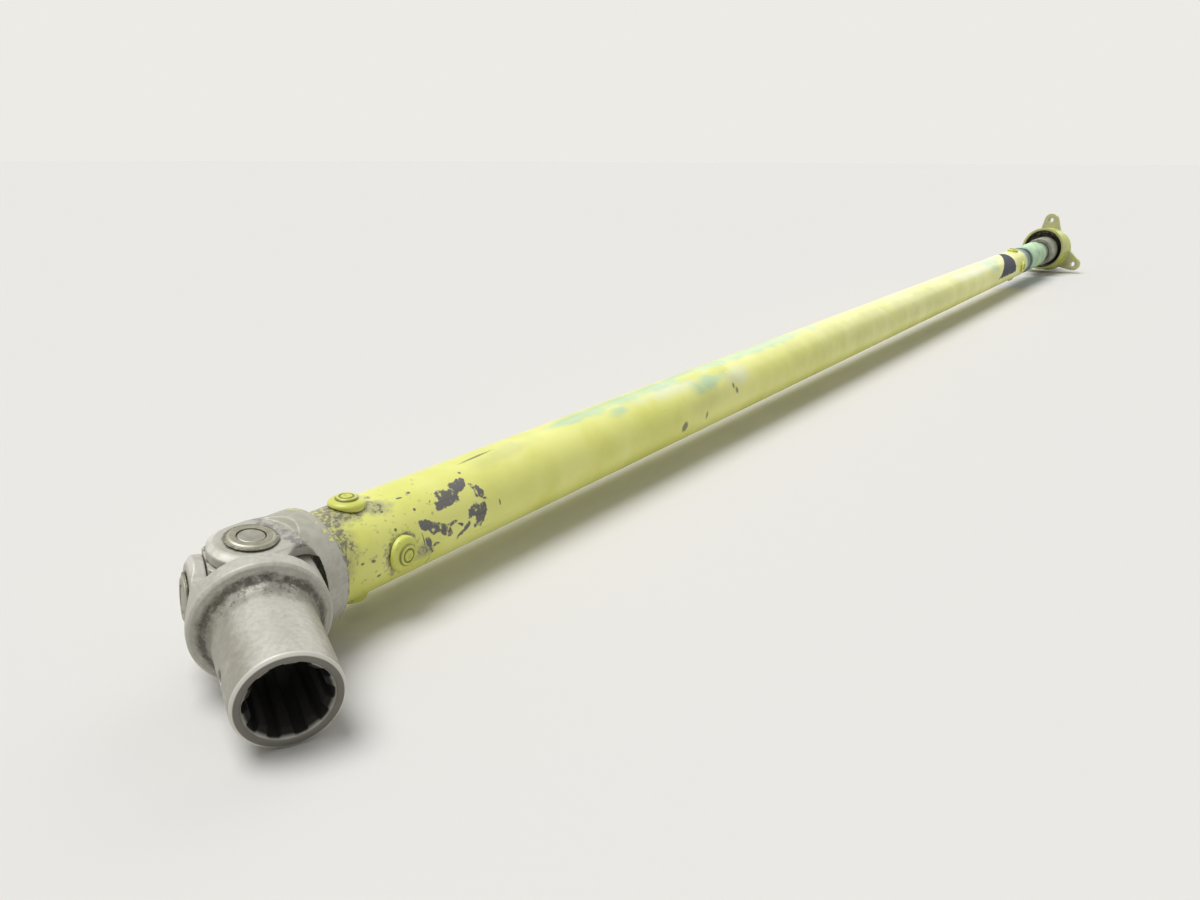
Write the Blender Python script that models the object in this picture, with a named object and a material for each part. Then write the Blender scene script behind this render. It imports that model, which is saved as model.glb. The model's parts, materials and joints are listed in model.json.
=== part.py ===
"""Flap-drive control rod: a torque tube with a fork-and-block universal joint at its
near end and a splined stub in a self-aligning, three-lug bearing housing at its far end.

X runs along the tube from the joint to the stub, Z is up, and the origin is the centre
of the stub's end face. Stations are distances along X from the joint's centre.
"""

import math

import bmesh
import bpy
from mathutils import Matrix, Vector

MM = 0.001
FIT_GAP = 0.3 * MM

# Torque tube
TUBE_RADIUS = 15.0 * MM
TUBE_WALL = 2.0 * MM
TUBE_LENGTH = 1010.0 * MM

# Forks of the universal joint, alike on both yokes
EAR_HEIGHT = 16.6 * MM
EAR_THICKNESS = 4.3 * MM
EAR_RADIUS = 11.8 * MM
FORK_RADIUS = 19.6 * MM
WAIST_HALF_WIDTH = 9.6 * MM
WAIST_FILLET_RADIUS = 4.0 * MM
DISH_RADIUS = 21.7 * MM
EDGE_CHAMFER = 0.8 * MM

# Tube yoke: collar against the tube's end and a shank inside the tube
COLLAR_RADIUS = 18.3 * MM
COLLAR_STATION = 20.6 * MM
CONE_START_STATION = 6.0 * MM
COLLAR_NECK_STATION = 12.0 * MM
SHANK_LENGTH = 36.0 * MM
FORK_ROLL = math.radians(10.6)

# Splined yoke
YOKE_SHOULDER_STATION = 18.0 * MM
YOKE_FILLET_RADIUS = 4.2 * MM
HUB_RADIUS = 14.0 * MM
HUB_END_STATION = 51.5 * MM
HUB_END_CHAMFER = 0.8 * MM
BORE_MOUTH_CHAMFER = 0.6 * MM
LOCK_HOLE_RADIUS = 2.2 * MM
LOCK_HOLE_FROM_END = 13.5 * MM
BEND_AT_REST = math.radians(62.0)

# Cross block, its pins and the bushes in the ears
BLOCK_HALF_DEPTH = 8.6 * MM
BLOCK_CHAMFER = 2.4 * MM
PIN_RADIUS = 4.0 * MM
PIN_END_CHAMFER = 0.5 * MM
BUSH_WALL = 1.3 * MM
BUSH_FLANGE_RADIUS = 7.4 * MM
BUSH_FLANGE_HEIGHT = 1.0 * MM
BUSH_CHAMFER = 0.4 * MM
LOCK_RIVET_RADIUS = 1.2 * MM
LOCK_RIVET_CHAMFER = 0.2 * MM

# Ten straight-sided splines: the hub's bore and the stub share them
SPLINE_COUNT = 10
SPLINE_MAJOR_RADIUS = 11.1 * MM
SPLINE_MINOR_RADIUS = 9.3 * MM
SPLINE_TOOTH_WIDTH = 3.4 * MM

# Cross rivets through each end of the tube, with saddle washers
RIVET_RADIUS = 2.0 * MM
RIVET_HEAD_RADIUS = 2.9 * MM
RIVET_HEAD_HEIGHT = 1.1 * MM
RIVET_CROWN_RADIUS = 1.6 * MM
RIVET_SPACING = 8.6 * MM
RIVET_FROM_TUBE_END = 15.6 * MM
RIVET_ROLL = math.radians(4.0)
WASHER_RADIUS = 5.8 * MM
WASHER_HEIGHT = 2.2 * MM
WASHER_CHAMFER = 0.6 * MM

# Bearing shaft at the far end, station by station
FAR_SHANK_LENGTH = 44.0 * MM
FAR_NECK_RADIUS = 14.2 * MM
FAR_NECK_LENGTH = 25.0 * MM
FAR_GROOVE_RADIUS = 12.0 * MM
FAR_GROOVE_LENGTH = 10.0 * MM
DRUM_RADIUS = 15.0 * MM
DRUM_LENGTH = 84.0 * MM
DRUM_CHAMFER = 1.0 * MM
SEAT_RADIUS = 11.6 * MM
SEAT_NECK_LENGTH = 34.0 * MM
SPACER_RADIUS = 16.5 * MM
SPACER_LENGTH = 46.0 * MM
SPACER_NOSE_RADIUS = 14.2 * MM
SPACER_NOSE_LENGTH = 4.0 * MM
SPLINE_RELIEF_LENGTH = 4.0 * MM
STUB_SPLINE_LENGTH = 42.0 * MM
STUB_CHAMFER = 1.2 * MM

# Ball bearing with a spherical outside, in an aligning race
INNER_RING_WALL = 2.7 * MM
INNER_RING_WIDTH = 14.0 * MM
OUTER_RING_WIDTH = 11.0 * MM
BALL_RADIUS = 2.3 * MM
BALL_COUNT = 14
RACE_GROOVE_DEPTH = 0.7 * MM
OUTER_RING_LIP = 3.0 * MM
SEAL_THICKNESS = 0.8 * MM
CAGE_WIDTH = 6.6 * MM
CAGE_HALF_THICKNESS = 0.7 * MM
RACE_WALL = 2.0 * MM
RACE_WIDTH = 12.0 * MM
CIRCLIP_WIDTH = 1.2 * MM
CIRCLIP_HEIGHT = 2.2 * MM
CIRCLIP_GROOVE_DEPTH = 0.8 * MM
CIRCLIP_GAP_ANGLE = math.radians(26.0)

# Housing: a cup with three lugs round its back
HOUSING_WALL = 3.0 * MM
HOUSING_DEPTH = 28.0 * MM
HOUSING_BACK_LIP = 2.2 * MM
FLANGE_STEP = 0.4 * MM
LUG_COUNT = 3
LUG_CIRCLE_RADIUS = 37.0 * MM
LUG_RADIUS = 8.0 * MM
LUG_THICKNESS = 7.0 * MM
LUG_HOLE_RADIUS = 2.9 * MM
LUG_FLANK_ANGLE = math.radians(16.0)
LUG_FILLET_RADIUS = 5.0 * MM
LUG_ROLL = math.radians(-2.4)
HOUSING_TILT = math.radians(11.0)
HOUSING_TILT_HEADING = math.radians(26.6)

# Facets round each kind of turned piece
FINE_STEPS = 36
MEDIUM_STEPS = 24
PIN_STEPS = 16
SMALL_STEPS = 10
BALL_STEPS = 8
BALL_RINGS = 4

# Places that follow from the sizes
SLOT_HALF_WIDTH = EAR_HEIGHT - EAR_THICKNESS
BUSH_RADIUS = PIN_RADIUS + FIT_GAP + BUSH_WALL
TUBE_START = COLLAR_STATION + FIT_GAP
TUBE_END = TUBE_START + TUBE_LENGTH
TUBE_BORE_RADIUS = TUBE_RADIUS - TUBE_WALL
SHANK_RADIUS = TUBE_BORE_RADIUS - FIT_GAP
FAR_FACE = TUBE_END + FIT_GAP
NECK_END = FAR_FACE + FAR_NECK_LENGTH
DRUM_START = NECK_END + FAR_GROOVE_LENGTH
DRUM_END = DRUM_START + DRUM_LENGTH
SPACER_START = DRUM_END + SEAT_NECK_LENGTH
SPACER_END = SPACER_START + SPACER_LENGTH
INNER_RING_START = SPACER_END + FIT_GAP
BEARING_STATION = INNER_RING_START + INNER_RING_WIDTH / 2
INNER_RING_END = INNER_RING_START + INNER_RING_WIDTH
CIRCLIP_START = INNER_RING_END + FIT_GAP
SEAT_END = CIRCLIP_START + CIRCLIP_WIDTH + 2 * FIT_GAP + SPLINE_RELIEF_LENGTH
STUB_END = SEAT_END + STUB_SPLINE_LENGTH
RING_BORE_RADIUS = SEAT_RADIUS + FIT_GAP
INNER_RING_RADIUS = RING_BORE_RADIUS + INNER_RING_WALL
BALL_CIRCLE_RADIUS = INNER_RING_RADIUS - RACE_GROOVE_DEPTH + FIT_GAP + BALL_RADIUS
OUTER_GROOVE_RADIUS = BALL_CIRCLE_RADIUS + BALL_RADIUS + FIT_GAP
OUTER_RING_BORE = OUTER_GROOVE_RADIUS - RACE_GROOVE_DEPTH
OUTER_SPHERE_RADIUS = OUTER_GROOVE_RADIUS + OUTER_RING_LIP / 2
RACE_SPHERE_RADIUS = OUTER_SPHERE_RADIUS + FIT_GAP
RACE_RADIUS = RACE_SPHERE_RADIUS + RACE_WALL
HOUSING_BORE_RADIUS = RACE_RADIUS + FIT_GAP
HOUSING_RADIUS = HOUSING_BORE_RADIUS + HOUSING_WALL


def clear_scene():
    """Remove the objects of the open scene."""
    for item in list(bpy.data.objects):
        bpy.data.objects.remove(item, do_unlink=True)


def make_material(name, colour, roughness, metallic):
    """A plain surface with the piece's own colour."""
    material = bpy.data.materials.new(name)
    material.use_nodes = True
    shader = material.node_tree.nodes["Principled BSDF"]
    shader.inputs["Base Color"].default_value = (*colour, 1.0)
    shader.inputs["Roughness"].default_value = roughness
    shader.inputs["Metallic"].default_value = metallic
    material.diffuse_color = (*colour, 1.0)
    return material


def make_empty(name, station=None, parent=None, rotation=None):
    """An empty that carries pieces, on the tube's axis or at its parent."""
    empty = bpy.data.objects.new(name, None)
    bpy.context.scene.collection.objects.link(empty)
    empty.parent = parent
    if station is not None:
        empty.location.x = station - STUB_END
    if rotation is not None:
        empty.rotation_mode = "QUATERNION"
        empty.rotation_quaternion = rotation.to_quaternion()
    return empty


def make_object(name, mesh_builder, parent, material=None):
    """Turn a finished bmesh into a smooth-shaded object under its parent."""
    bmesh.ops.remove_doubles(mesh_builder, verts=mesh_builder.verts, dist=1e-6)
    bmesh.ops.recalc_face_normals(mesh_builder, faces=mesh_builder.faces)
    mesh = bpy.data.meshes.new(name)
    mesh_builder.to_mesh(mesh)
    mesh_builder.free()
    mesh.shade_smooth()
    mesh.set_sharp_from_angle(angle=math.radians(32.0))
    piece = bpy.data.objects.new(name, mesh)
    bpy.context.scene.collection.objects.link(piece)
    piece.parent = parent
    if material is not None:
        mesh.materials.append(material)
    return piece


def add_turned(builder, outline, steps, closed=False, matrix=None):
    """Add a body turned about X: outline points are (distance along X, radius).

    A closed outline goes round a ring's section; an open one is capped at both ends.
    """
    rings = []
    for along, radius in outline:
        if radius < 1e-9:
            rings.append([builder.verts.new((along, 0.0, 0.0))])
            continue
        ring = []
        for step in range(steps):
            angle = 2 * math.pi * (step + 0.5) / steps
            place = (along, radius * math.cos(angle), radius * math.sin(angle))
            ring.append(builder.verts.new(place))
        rings.append(ring)
    pairs = list(zip(rings, rings[1:]))
    if closed:
        pairs.append((rings[-1], rings[0]))
    for first, second in pairs:
        for step in range(steps):
            following = (step + 1) % steps
            corners = [first[step % len(first)], first[following % len(first)],
                       second[following % len(second)], second[step % len(second)]]
            unique = list(dict.fromkeys(corners))
            if len(unique) > 2:
                builder.faces.new(unique)
    if not closed:
        for ring in (rings[0], rings[-1]):
            if len(ring) > 2:
                builder.faces.new(ring)
    if matrix is not None:
        own = [vert for ring in rings for vert in ring]
        bmesh.ops.transform(builder, matrix=matrix, verts=own)


def add_prism(builder, outline, low, high, matrix=None):
    """Add a straight body: outline points are (x, y), drawn out from low to high along Z."""
    bottom = [builder.verts.new((x, y, low)) for x, y in outline]
    top = [builder.verts.new((x, y, high)) for x, y in outline]
    builder.faces.new(list(reversed(bottom)))
    builder.faces.new(top)
    count = len(outline)
    for index in range(count):
        following = (index + 1) % count
        builder.faces.new((bottom[index], bottom[following], top[following], top[index]))
    if matrix is not None:
        bmesh.ops.transform(builder, matrix=matrix, verts=bottom + top)


def turned_object(name, outline, steps, parent, material=None, closed=False, matrix=None):
    """An object of one turned body."""
    builder = bmesh.new()
    add_turned(builder, outline, steps, closed, matrix)
    return make_object(name, builder, parent, material)


def prism_object(name, outline, low, high, parent, material=None, matrix=None):
    """An object of one straight body."""
    builder = bmesh.new()
    add_prism(builder, outline, low, high, matrix)
    return make_object(name, builder, parent, material)


def boolean(target, other, operation):
    """Cut, join or trim a piece with another shape, which is left out of the model."""
    modifier = target.modifiers.new(other.name, "BOOLEAN")
    modifier.operation = operation
    modifier.solver = "EXACT"
    modifier.object = other
    other.hide_render = True
    other.display_type = "WIRE"


def arc(centre_x, centre_y, radius, start, end, steps):
    """Points on an arc, both ends included; angles in radians."""
    points = []
    for step in range(steps + 1):
        angle = start + (end - start) * step / steps
        points.append((centre_x + radius * math.cos(angle), centre_y + radius * math.sin(angle)))
    return points


def along_z():
    """Turn a body that was made along X so that it runs along Z."""
    return Matrix.Rotation(-math.pi / 2, 4, "Y")


def along_y():
    """Turn a body that was made along X so that it runs along Y."""
    return Matrix.Rotation(math.pi / 2, 4, "Z")


def plain_pin(start, end, radius, chamfer):
    """Outline of a pin with a chamfer at each end."""
    return [(start, radius - chamfer), (start + chamfer, radius),
            (end - chamfer, radius), (end, radius - chamfer)]


def plain_hole(start, end, radius):
    """Outline of a straight round cutter."""
    return [(start, radius), (end, radius)]


def ear_outline(base_station):
    """A fork's outline seen along its pin: a round ear, a filleted waist and the wide base."""
    centre_y = WAIST_HALF_WIDTH + WAIST_FILLET_RADIUS
    centre_x = math.sqrt((EAR_RADIUS + WAIST_FILLET_RADIUS) ** 2 - centre_y ** 2)
    meet = math.atan2(centre_y, centre_x)
    shoulder = centre_x + WAIST_FILLET_RADIUS
    half = FORK_RADIUS + FIT_GAP
    outline = arc(0.0, 0.0, EAR_RADIUS, meet, 2 * math.pi - meet, 17)
    outline += arc(centre_x, -centre_y, WAIST_FILLET_RADIUS, math.pi - meet, 0.0, 5)[1:]
    outline += [(shoulder, -half), (base_station, -half), (base_station, half), (shoulder, half)]
    outline += arc(centre_x, centre_y, WAIST_FILLET_RADIUS, 0.0, meet - math.pi, 5)[:-1]
    return outline


def cut_fork(yoke, name, parent, base_station):
    """Shape a turned blank into a fork whose pin runs along Z and whose base lies along +X."""
    reach = 2 * FORK_RADIUS
    envelope = prism_object(name + "_outline", ear_outline(base_station), -reach, reach, parent)
    boolean(yoke, envelope, "INTERSECT")

    slot = bmesh.new()
    outline = arc(0.0, 0.0, DISH_RADIUS, -math.pi / 2, math.pi / 2, 21)
    outline += [(-reach, DISH_RADIUS), (-reach, -DISH_RADIUS)]
    add_prism(slot, outline, -SLOT_HALF_WIDTH, SLOT_HALF_WIDTH)
    boolean(yoke, make_object(name + "_slot", slot, parent), "DIFFERENCE")

    for side in (-1, 1):
        face = bmesh.new()
        outline = [(EAR_HEIGHT, EAR_RADIUS + FIT_GAP), (EAR_HEIGHT + EAR_RADIUS, 2 * EAR_RADIUS)]
        add_turned(face, outline, MEDIUM_STEPS)
        flip = Matrix.Rotation(0.0 if side > 0 else math.pi, 4, "X") @ along_z()
        bmesh.ops.transform(face, matrix=flip, verts=face.verts)
        label = "low" if side < 0 else "high"
        boolean(yoke, make_object(f"{name}_face_{label}", face, parent), "DIFFERENCE")

    hole = turned_object(name + "_pin_hole", plain_hole(-reach, reach, BUSH_RADIUS + FIT_GAP),
                         PIN_STEPS, parent, matrix=along_z())
    boolean(yoke, hole, "DIFFERENCE")


def make_tube(parent, material):
    """Drawn tube, cross-drilled at both ends for its rivets."""
    outline = [(TUBE_START, TUBE_BORE_RADIUS), (TUBE_START, TUBE_RADIUS),
               (TUBE_END, TUBE_RADIUS), (TUBE_END, TUBE_BORE_RADIUS)]
    tube = turned_object("torque_tube", outline, FINE_STEPS, parent, material, closed=True)
    for label, stations in rivet_stations().items():
        drill_rivet_holes(tube, "tube_" + label, stations, parent)
    return tube


RIVET_NAMES = ("upright", "level")


def rivet_stations():
    """Where the two cross rivets stand at each end of the tube."""
    near = TUBE_START + RIVET_FROM_TUBE_END
    far = TUBE_END - RIVET_FROM_TUBE_END
    return {"near": (near, near + RIVET_SPACING), "far": (far, far - RIVET_SPACING)}


def rivet_matrix(station, turn):
    """Place a body made along X across the tube; the first rivet is upright, the second level."""
    roll = Matrix.Rotation(RIVET_ROLL + turn * math.pi / 2, 4, "X")
    return Matrix.Translation((station, 0.0, 0.0)) @ roll @ along_z()


def drill_rivet_holes(piece, name, stations, parent):
    """Cross-drill a piece for the two rivets of one end."""
    reach = 2 * TUBE_RADIUS
    for turn, station in enumerate(stations):
        hole = turned_object(f"{name}_hole_{turn + 1}", plain_hole(-reach, reach, RIVET_RADIUS + FIT_GAP),
                             SMALL_STEPS, parent, matrix=rivet_matrix(station, turn))
        boolean(piece, hole, "DIFFERENCE")


def rivet_outline():
    """A cross rivet with a low domed head formed at each end, over its washers."""
    shoulder = TUBE_RADIUS + WASHER_HEIGHT + 2 * FIT_GAP
    top = shoulder + RIVET_HEAD_HEIGHT
    half = [(shoulder, RIVET_RADIUS), (shoulder, RIVET_HEAD_RADIUS), (top, RIVET_CROWN_RADIUS)]
    mirrored = [(-along, radius) for along, radius in reversed(half)]
    return mirrored + half


def make_rivets(end, parent, material):
    """The two cross rivets of one end of the tube."""
    for turn, station in enumerate(rivet_stations()[end]):
        turned_object(f"{end}_rivet_{RIVET_NAMES[turn]}", rivet_outline(), SMALL_STEPS, parent, material,
                      matrix=rivet_matrix(station, turn))


def make_washers(end, parent, material):
    """Saddle washers under the four rivet heads of one end, hollowed to sit on the tube."""
    stations = rivet_stations()[end]
    bore = RIVET_RADIUS + FIT_GAP
    top = TUBE_RADIUS + FIT_GAP + WASHER_HEIGHT
    outline = [(TUBE_BORE_RADIUS, bore), (TUBE_BORE_RADIUS, WASHER_RADIUS),
               (top - WASHER_CHAMFER, WASHER_RADIUS), (top, WASHER_RADIUS - WASHER_CHAMFER), (top, bore)]
    reach = RIVET_SPACING + 2 * WASHER_RADIUS
    saddle_outline = plain_hole(stations[0] - reach, stations[0] + reach, TUBE_RADIUS + FIT_GAP)
    saddle = turned_object(end + "_washer_saddle", saddle_outline, FINE_STEPS, parent)
    for turn, station in enumerate(stations):
        for side, flip in (("a", 0.0), ("b", math.pi)):
            matrix = rivet_matrix(station, turn) @ Matrix.Rotation(flip, 4, "Y")
            washer = turned_object(f"{end}_washer_{RIVET_NAMES[turn]}_{side}", outline, SMALL_STEPS,
                                   parent, material, closed=True, matrix=matrix)
            boolean(washer, saddle, "DIFFERENCE")


def make_tube_yoke(joint, datum, material):
    """Forged fork with a collar against the tube and a shank riveted inside it."""
    shank_end = COLLAR_STATION + SHANK_LENGTH
    outline = [(-EAR_RADIUS - FIT_GAP, FORK_RADIUS), (CONE_START_STATION, FORK_RADIUS),
               (COLLAR_NECK_STATION, COLLAR_RADIUS), (COLLAR_STATION - EDGE_CHAMFER, COLLAR_RADIUS),
               (COLLAR_STATION, COLLAR_RADIUS - EDGE_CHAMFER), (COLLAR_STATION, SHANK_RADIUS),
               (shank_end - EDGE_CHAMFER, SHANK_RADIUS), (shank_end, SHANK_RADIUS - EDGE_CHAMFER)]
    yoke = turned_object("tube_yoke", outline, FINE_STEPS, joint, material)
    cut_fork(yoke, "tube_yoke", joint, shank_end + FORK_RADIUS)
    drill_rivet_holes(yoke, "tube_yoke", rivet_stations()["near"], datum)
    return yoke


def spline_outline(root_radius, tip_radius, tooth_width):
    """Ten straight-sided teeth round a root circle."""
    points = []
    half_root = math.asin(tooth_width / 2 / root_radius)
    half_tip = math.asin(tooth_width / 2 / tip_radius)
    pitch = 2 * math.pi / SPLINE_COUNT
    for tooth in range(SPLINE_COUNT):
        middle = tooth * pitch
        points += arc(0.0, 0.0, root_radius, middle - pitch + half_root, middle - half_root, 1)
        points += arc(0.0, 0.0, tip_radius, middle - half_tip, middle + half_tip, 1)
    return points


def make_splined_yoke(parent, material):
    """Forged fork with a hub bored for ten splines; its base lies along +X in its own frame."""
    shoulder = YOKE_SHOULDER_STATION
    fillet_depth = FORK_RADIUS - EDGE_CHAMFER - HUB_RADIUS
    outline = [(-EAR_RADIUS - FIT_GAP, FORK_RADIUS), (shoulder - EDGE_CHAMFER, FORK_RADIUS)]
    for cosine, sine in arc(0.0, 0.0, 1.0, 0.0, math.pi / 2, 4):
        along = shoulder + YOKE_FILLET_RADIUS * (1 - cosine)
        outline.append((along, HUB_RADIUS + fillet_depth * (1 - sine)))
    outline += [(HUB_END_STATION - HUB_END_CHAMFER, HUB_RADIUS),
                (HUB_END_STATION, HUB_RADIUS - HUB_END_CHAMFER)]
    yoke = turned_object("splined_yoke", outline, FINE_STEPS, parent, material)
    cut_fork(yoke, "splined_yoke", parent, HUB_END_STATION + FORK_RADIUS)

    teeth = spline_outline(SPLINE_MINOR_RADIUS, SPLINE_MAJOR_RADIUS, SPLINE_TOOTH_WIDTH)
    past_end = HUB_END_STATION + EAR_RADIUS
    bore = prism_object("spline_bore", teeth, EAR_RADIUS, past_end, parent,
                        matrix=Matrix.Rotation(math.pi / 2, 4, "Y"))
    boolean(yoke, bore, "DIFFERENCE")
    mouth_radius = SPLINE_MAJOR_RADIUS + BORE_MOUTH_CHAMFER
    mouth = [(HUB_END_STATION - mouth_radius + SPLINE_MINOR_RADIUS, SPLINE_MINOR_RADIUS),
             (HUB_END_STATION, mouth_radius), (past_end, mouth_radius)]
    boolean(yoke, turned_object("spline_mouth", mouth, FINE_STEPS, parent), "DIFFERENCE")

    hole_place = Matrix.Translation((HUB_END_STATION - LOCK_HOLE_FROM_END, 0.0, 0.0)) @ along_z()
    lock_hole = turned_object("lock_hole", plain_hole(0.0, 2 * HUB_RADIUS, LOCK_HOLE_RADIUS),
                              SMALL_STEPS, parent, matrix=hole_place)
    boolean(yoke, lock_hole, "DIFFERENCE")
    return yoke


def make_bushes(name, parent, material):
    """A flanged bush in each ear of a fork, its flange outside."""
    bore = PIN_RADIUS + FIT_GAP
    flange_start = EAR_HEIGHT + FIT_GAP
    flange_end = flange_start + BUSH_FLANGE_HEIGHT
    outline = [(SLOT_HALF_WIDTH, bore), (SLOT_HALF_WIDTH, BUSH_RADIUS), (flange_start, BUSH_RADIUS),
               (flange_start, BUSH_FLANGE_RADIUS), (flange_end - BUSH_CHAMFER, BUSH_FLANGE_RADIUS),
               (flange_end, BUSH_FLANGE_RADIUS - BUSH_CHAMFER), (flange_end, bore)]
    for side, flip in (("a", 0.0), ("b", math.pi)):
        turned_object(f"{name}_{side}", outline, PIN_STEPS, parent, material, closed=True,
                      matrix=Matrix.Rotation(flip, 4, "X") @ along_z())


def make_cross(parent, steel, pin_steel):
    """Block with a long pin through it along Z, two short pins along Y and their lock rivets."""
    half = SLOT_HALF_WIDTH - FIT_GAP
    cut = BLOCK_CHAMFER
    deep = BLOCK_HALF_DEPTH
    outline = [(-deep, -half + cut), (-deep + cut, -half), (deep - cut, -half), (deep, -half + cut),
               (deep, half - cut), (deep - cut, half), (-deep + cut, half), (-deep, half - cut)]
    block = prism_object("cross_block", outline, -half, half, parent, steel)
    bore = plain_hole(-EAR_HEIGHT, EAR_HEIGHT, PIN_RADIUS + FIT_GAP)
    long_hole = turned_object("block_long_hole", bore, PIN_STEPS, parent, matrix=along_z())
    boolean(block, long_hole, "DIFFERENCE")
    half_facet = Matrix.Rotation(math.pi / PIN_STEPS, 4, "X")
    short_hole = turned_object("block_short_hole", bore, PIN_STEPS, parent, matrix=along_y() @ half_facet)
    boolean(block, short_hole, "DIFFERENCE")

    long_pin = plain_pin(-EAR_HEIGHT, EAR_HEIGHT, PIN_RADIUS, PIN_END_CHAMFER)
    turned_object("long_pin", long_pin, PIN_STEPS, parent, pin_steel, matrix=along_z())
    short_start = PIN_RADIUS + FIT_GAP
    short_pin_outline = plain_pin(short_start, EAR_HEIGHT, PIN_RADIUS, PIN_END_CHAMFER)
    lock_rivet = plain_pin(-deep, deep, LOCK_RIVET_RADIUS, LOCK_RIVET_CHAMFER)
    lock_hole = plain_hole(-EAR_HEIGHT, EAR_HEIGHT, LOCK_RIVET_RADIUS + FIT_GAP)
    rivet_place = (half + short_start) / 2
    for side, flip in (("a", 0.0), ("b", math.pi)):
        turn = Matrix.Rotation(flip, 4, "Z")
        short_pin = turned_object("short_pin_" + side, short_pin_outline, PIN_STEPS, parent, pin_steel,
                                  matrix=turn @ along_y())
        rivet_turn = turn @ Matrix.Translation((0.0, rivet_place, 0.0))
        turned_object("pin_lock_rivet_" + side, lock_rivet, SMALL_STEPS, parent, pin_steel,
                      matrix=rivet_turn)
        hole = turned_object("lock_rivet_hole_" + side, lock_hole, SMALL_STEPS, parent, matrix=rivet_turn)
        boolean(block, hole, "DIFFERENCE")
        boolean(short_pin, hole, "DIFFERENCE")


def make_bearing_shaft(parent, material):
    """Turned shaft: shank in the tube, neck, drum, bearing seat and splined stub."""
    shank_start = FAR_FACE - FAR_SHANK_LENGTH
    step = DRUM_CHAMFER
    groove = CIRCLIP_GROOVE_DEPTH + FIT_GAP
    clip_end = CIRCLIP_START + CIRCLIP_WIDTH + FIT_GAP
    root_radius = SPLINE_MINOR_RADIUS - FIT_GAP
    outline = [(shank_start, SHANK_RADIUS - step), (shank_start + step, SHANK_RADIUS),
               (FAR_FACE, SHANK_RADIUS), (FAR_FACE, FAR_NECK_RADIUS), (NECK_END - step, FAR_NECK_RADIUS),
               (NECK_END, FAR_GROOVE_RADIUS), (DRUM_START, FAR_GROOVE_RADIUS),
               (DRUM_START, DRUM_RADIUS - step), (DRUM_START + step, DRUM_RADIUS),
               (DRUM_END - step, DRUM_RADIUS), (DRUM_END, DRUM_RADIUS - step),
               (DRUM_END, SEAT_RADIUS), (CIRCLIP_START - FIT_GAP, SEAT_RADIUS),
               (CIRCLIP_START - FIT_GAP, SEAT_RADIUS - groove), (clip_end, SEAT_RADIUS - groove),
               (clip_end, SEAT_RADIUS), (SEAT_END - SPLINE_RELIEF_LENGTH / 2, SEAT_RADIUS),
               (SEAT_END, root_radius), (STUB_END - STUB_CHAMFER, root_radius),
               (STUB_END, root_radius - STUB_CHAMFER)]
    shaft = turned_object("bearing_shaft", outline, FINE_STEPS, parent, material)
    drill_rivet_holes(shaft, "bearing_shaft", rivet_stations()["far"], parent)

    outline = spline_outline(root_radius - FIT_GAP, SPLINE_MAJOR_RADIUS - FIT_GAP,
                             SPLINE_TOOTH_WIDTH - FIT_GAP)
    teeth = prism_object("stub_teeth", outline, SEAT_END - SPLINE_RELIEF_LENGTH / 4, STUB_END, parent,
                         matrix=Matrix.Rotation(math.pi / 2, 4, "Y"))
    tip_cone = [(SEAT_END - SPLINE_RELIEF_LENGTH, SEAT_RADIUS),
                (STUB_END - 2 * STUB_CHAMFER, SEAT_RADIUS),
                (STUB_END + STUB_CHAMFER, SEAT_RADIUS - 3 * STUB_CHAMFER)]
    boolean(teeth, turned_object("stub_tip_cone", tip_cone, MEDIUM_STEPS, parent), "INTERSECT")
    boolean(shaft, teeth, "UNION")
    return shaft


def make_spacer(parent, material):
    """Sleeve on the bearing seat, from its wide front to the nose on the inner ring."""
    nose = SPACER_END - SPACER_NOSE_LENGTH
    outline = [(SPACER_START, RING_BORE_RADIUS), (SPACER_START, SPACER_RADIUS - DRUM_CHAMFER),
               (SPACER_START + DRUM_CHAMFER, SPACER_RADIUS), (nose, SPACER_RADIUS),
               (nose, SPACER_NOSE_RADIUS),
               (SPACER_END, SPACER_NOSE_RADIUS), (SPACER_END, RING_BORE_RADIUS)]
    return turned_object("spacer_sleeve", outline, MEDIUM_STEPS, parent, material, closed=True)


def make_inner_ring(parent, material):
    """Inner ring with a groove for the balls."""
    half = INNER_RING_WIDTH / 2
    groove_radius = BALL_RADIUS + FIT_GAP
    spread = math.acos((BALL_CIRCLE_RADIUS - INNER_RING_RADIUS) / groove_radius)
    down = -math.pi / 2
    outline = [(-half, RING_BORE_RADIUS), (-half, INNER_RING_RADIUS)]
    outline += arc(0.0, BALL_CIRCLE_RADIUS, groove_radius, down - spread, down + spread, 4)
    outline += [(half, INNER_RING_RADIUS), (half, RING_BORE_RADIUS)]
    return turned_object("bearing_inner_ring", outline, MEDIUM_STEPS, parent, material, closed=True)


def make_outer_ring(parent, material):
    """Outer ring: a groove inside for the balls and a spherical outside."""
    half = OUTER_RING_WIDTH / 2
    groove_radius = BALL_RADIUS + FIT_GAP
    edge = math.acos((OUTER_RING_BORE - BALL_CIRCLE_RADIUS) / groove_radius)
    inside = arc(0.0, BALL_CIRCLE_RADIUS, groove_radius, math.pi / 2 - edge, math.pi / 2 + edge, 4)
    seal_seat = half - SEAL_THICKNESS - FIT_GAP
    seal_radius = OUTER_RING_BORE + 2 * FIT_GAP
    bow = math.asin(half / OUTER_SPHERE_RADIUS)
    outside = arc(0.0, 0.0, OUTER_SPHERE_RADIUS, math.pi / 2 + bow, math.pi / 2 - bow, 4)
    outline = outside + [(half, seal_radius), (seal_seat, seal_radius), (seal_seat, OUTER_RING_BORE)]
    outline += inside
    outline += [(-seal_seat, OUTER_RING_BORE), (-seal_seat, seal_radius), (-half, seal_radius)]
    return turned_object("bearing_outer_ring", outline, MEDIUM_STEPS, parent, material, closed=True)


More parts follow.
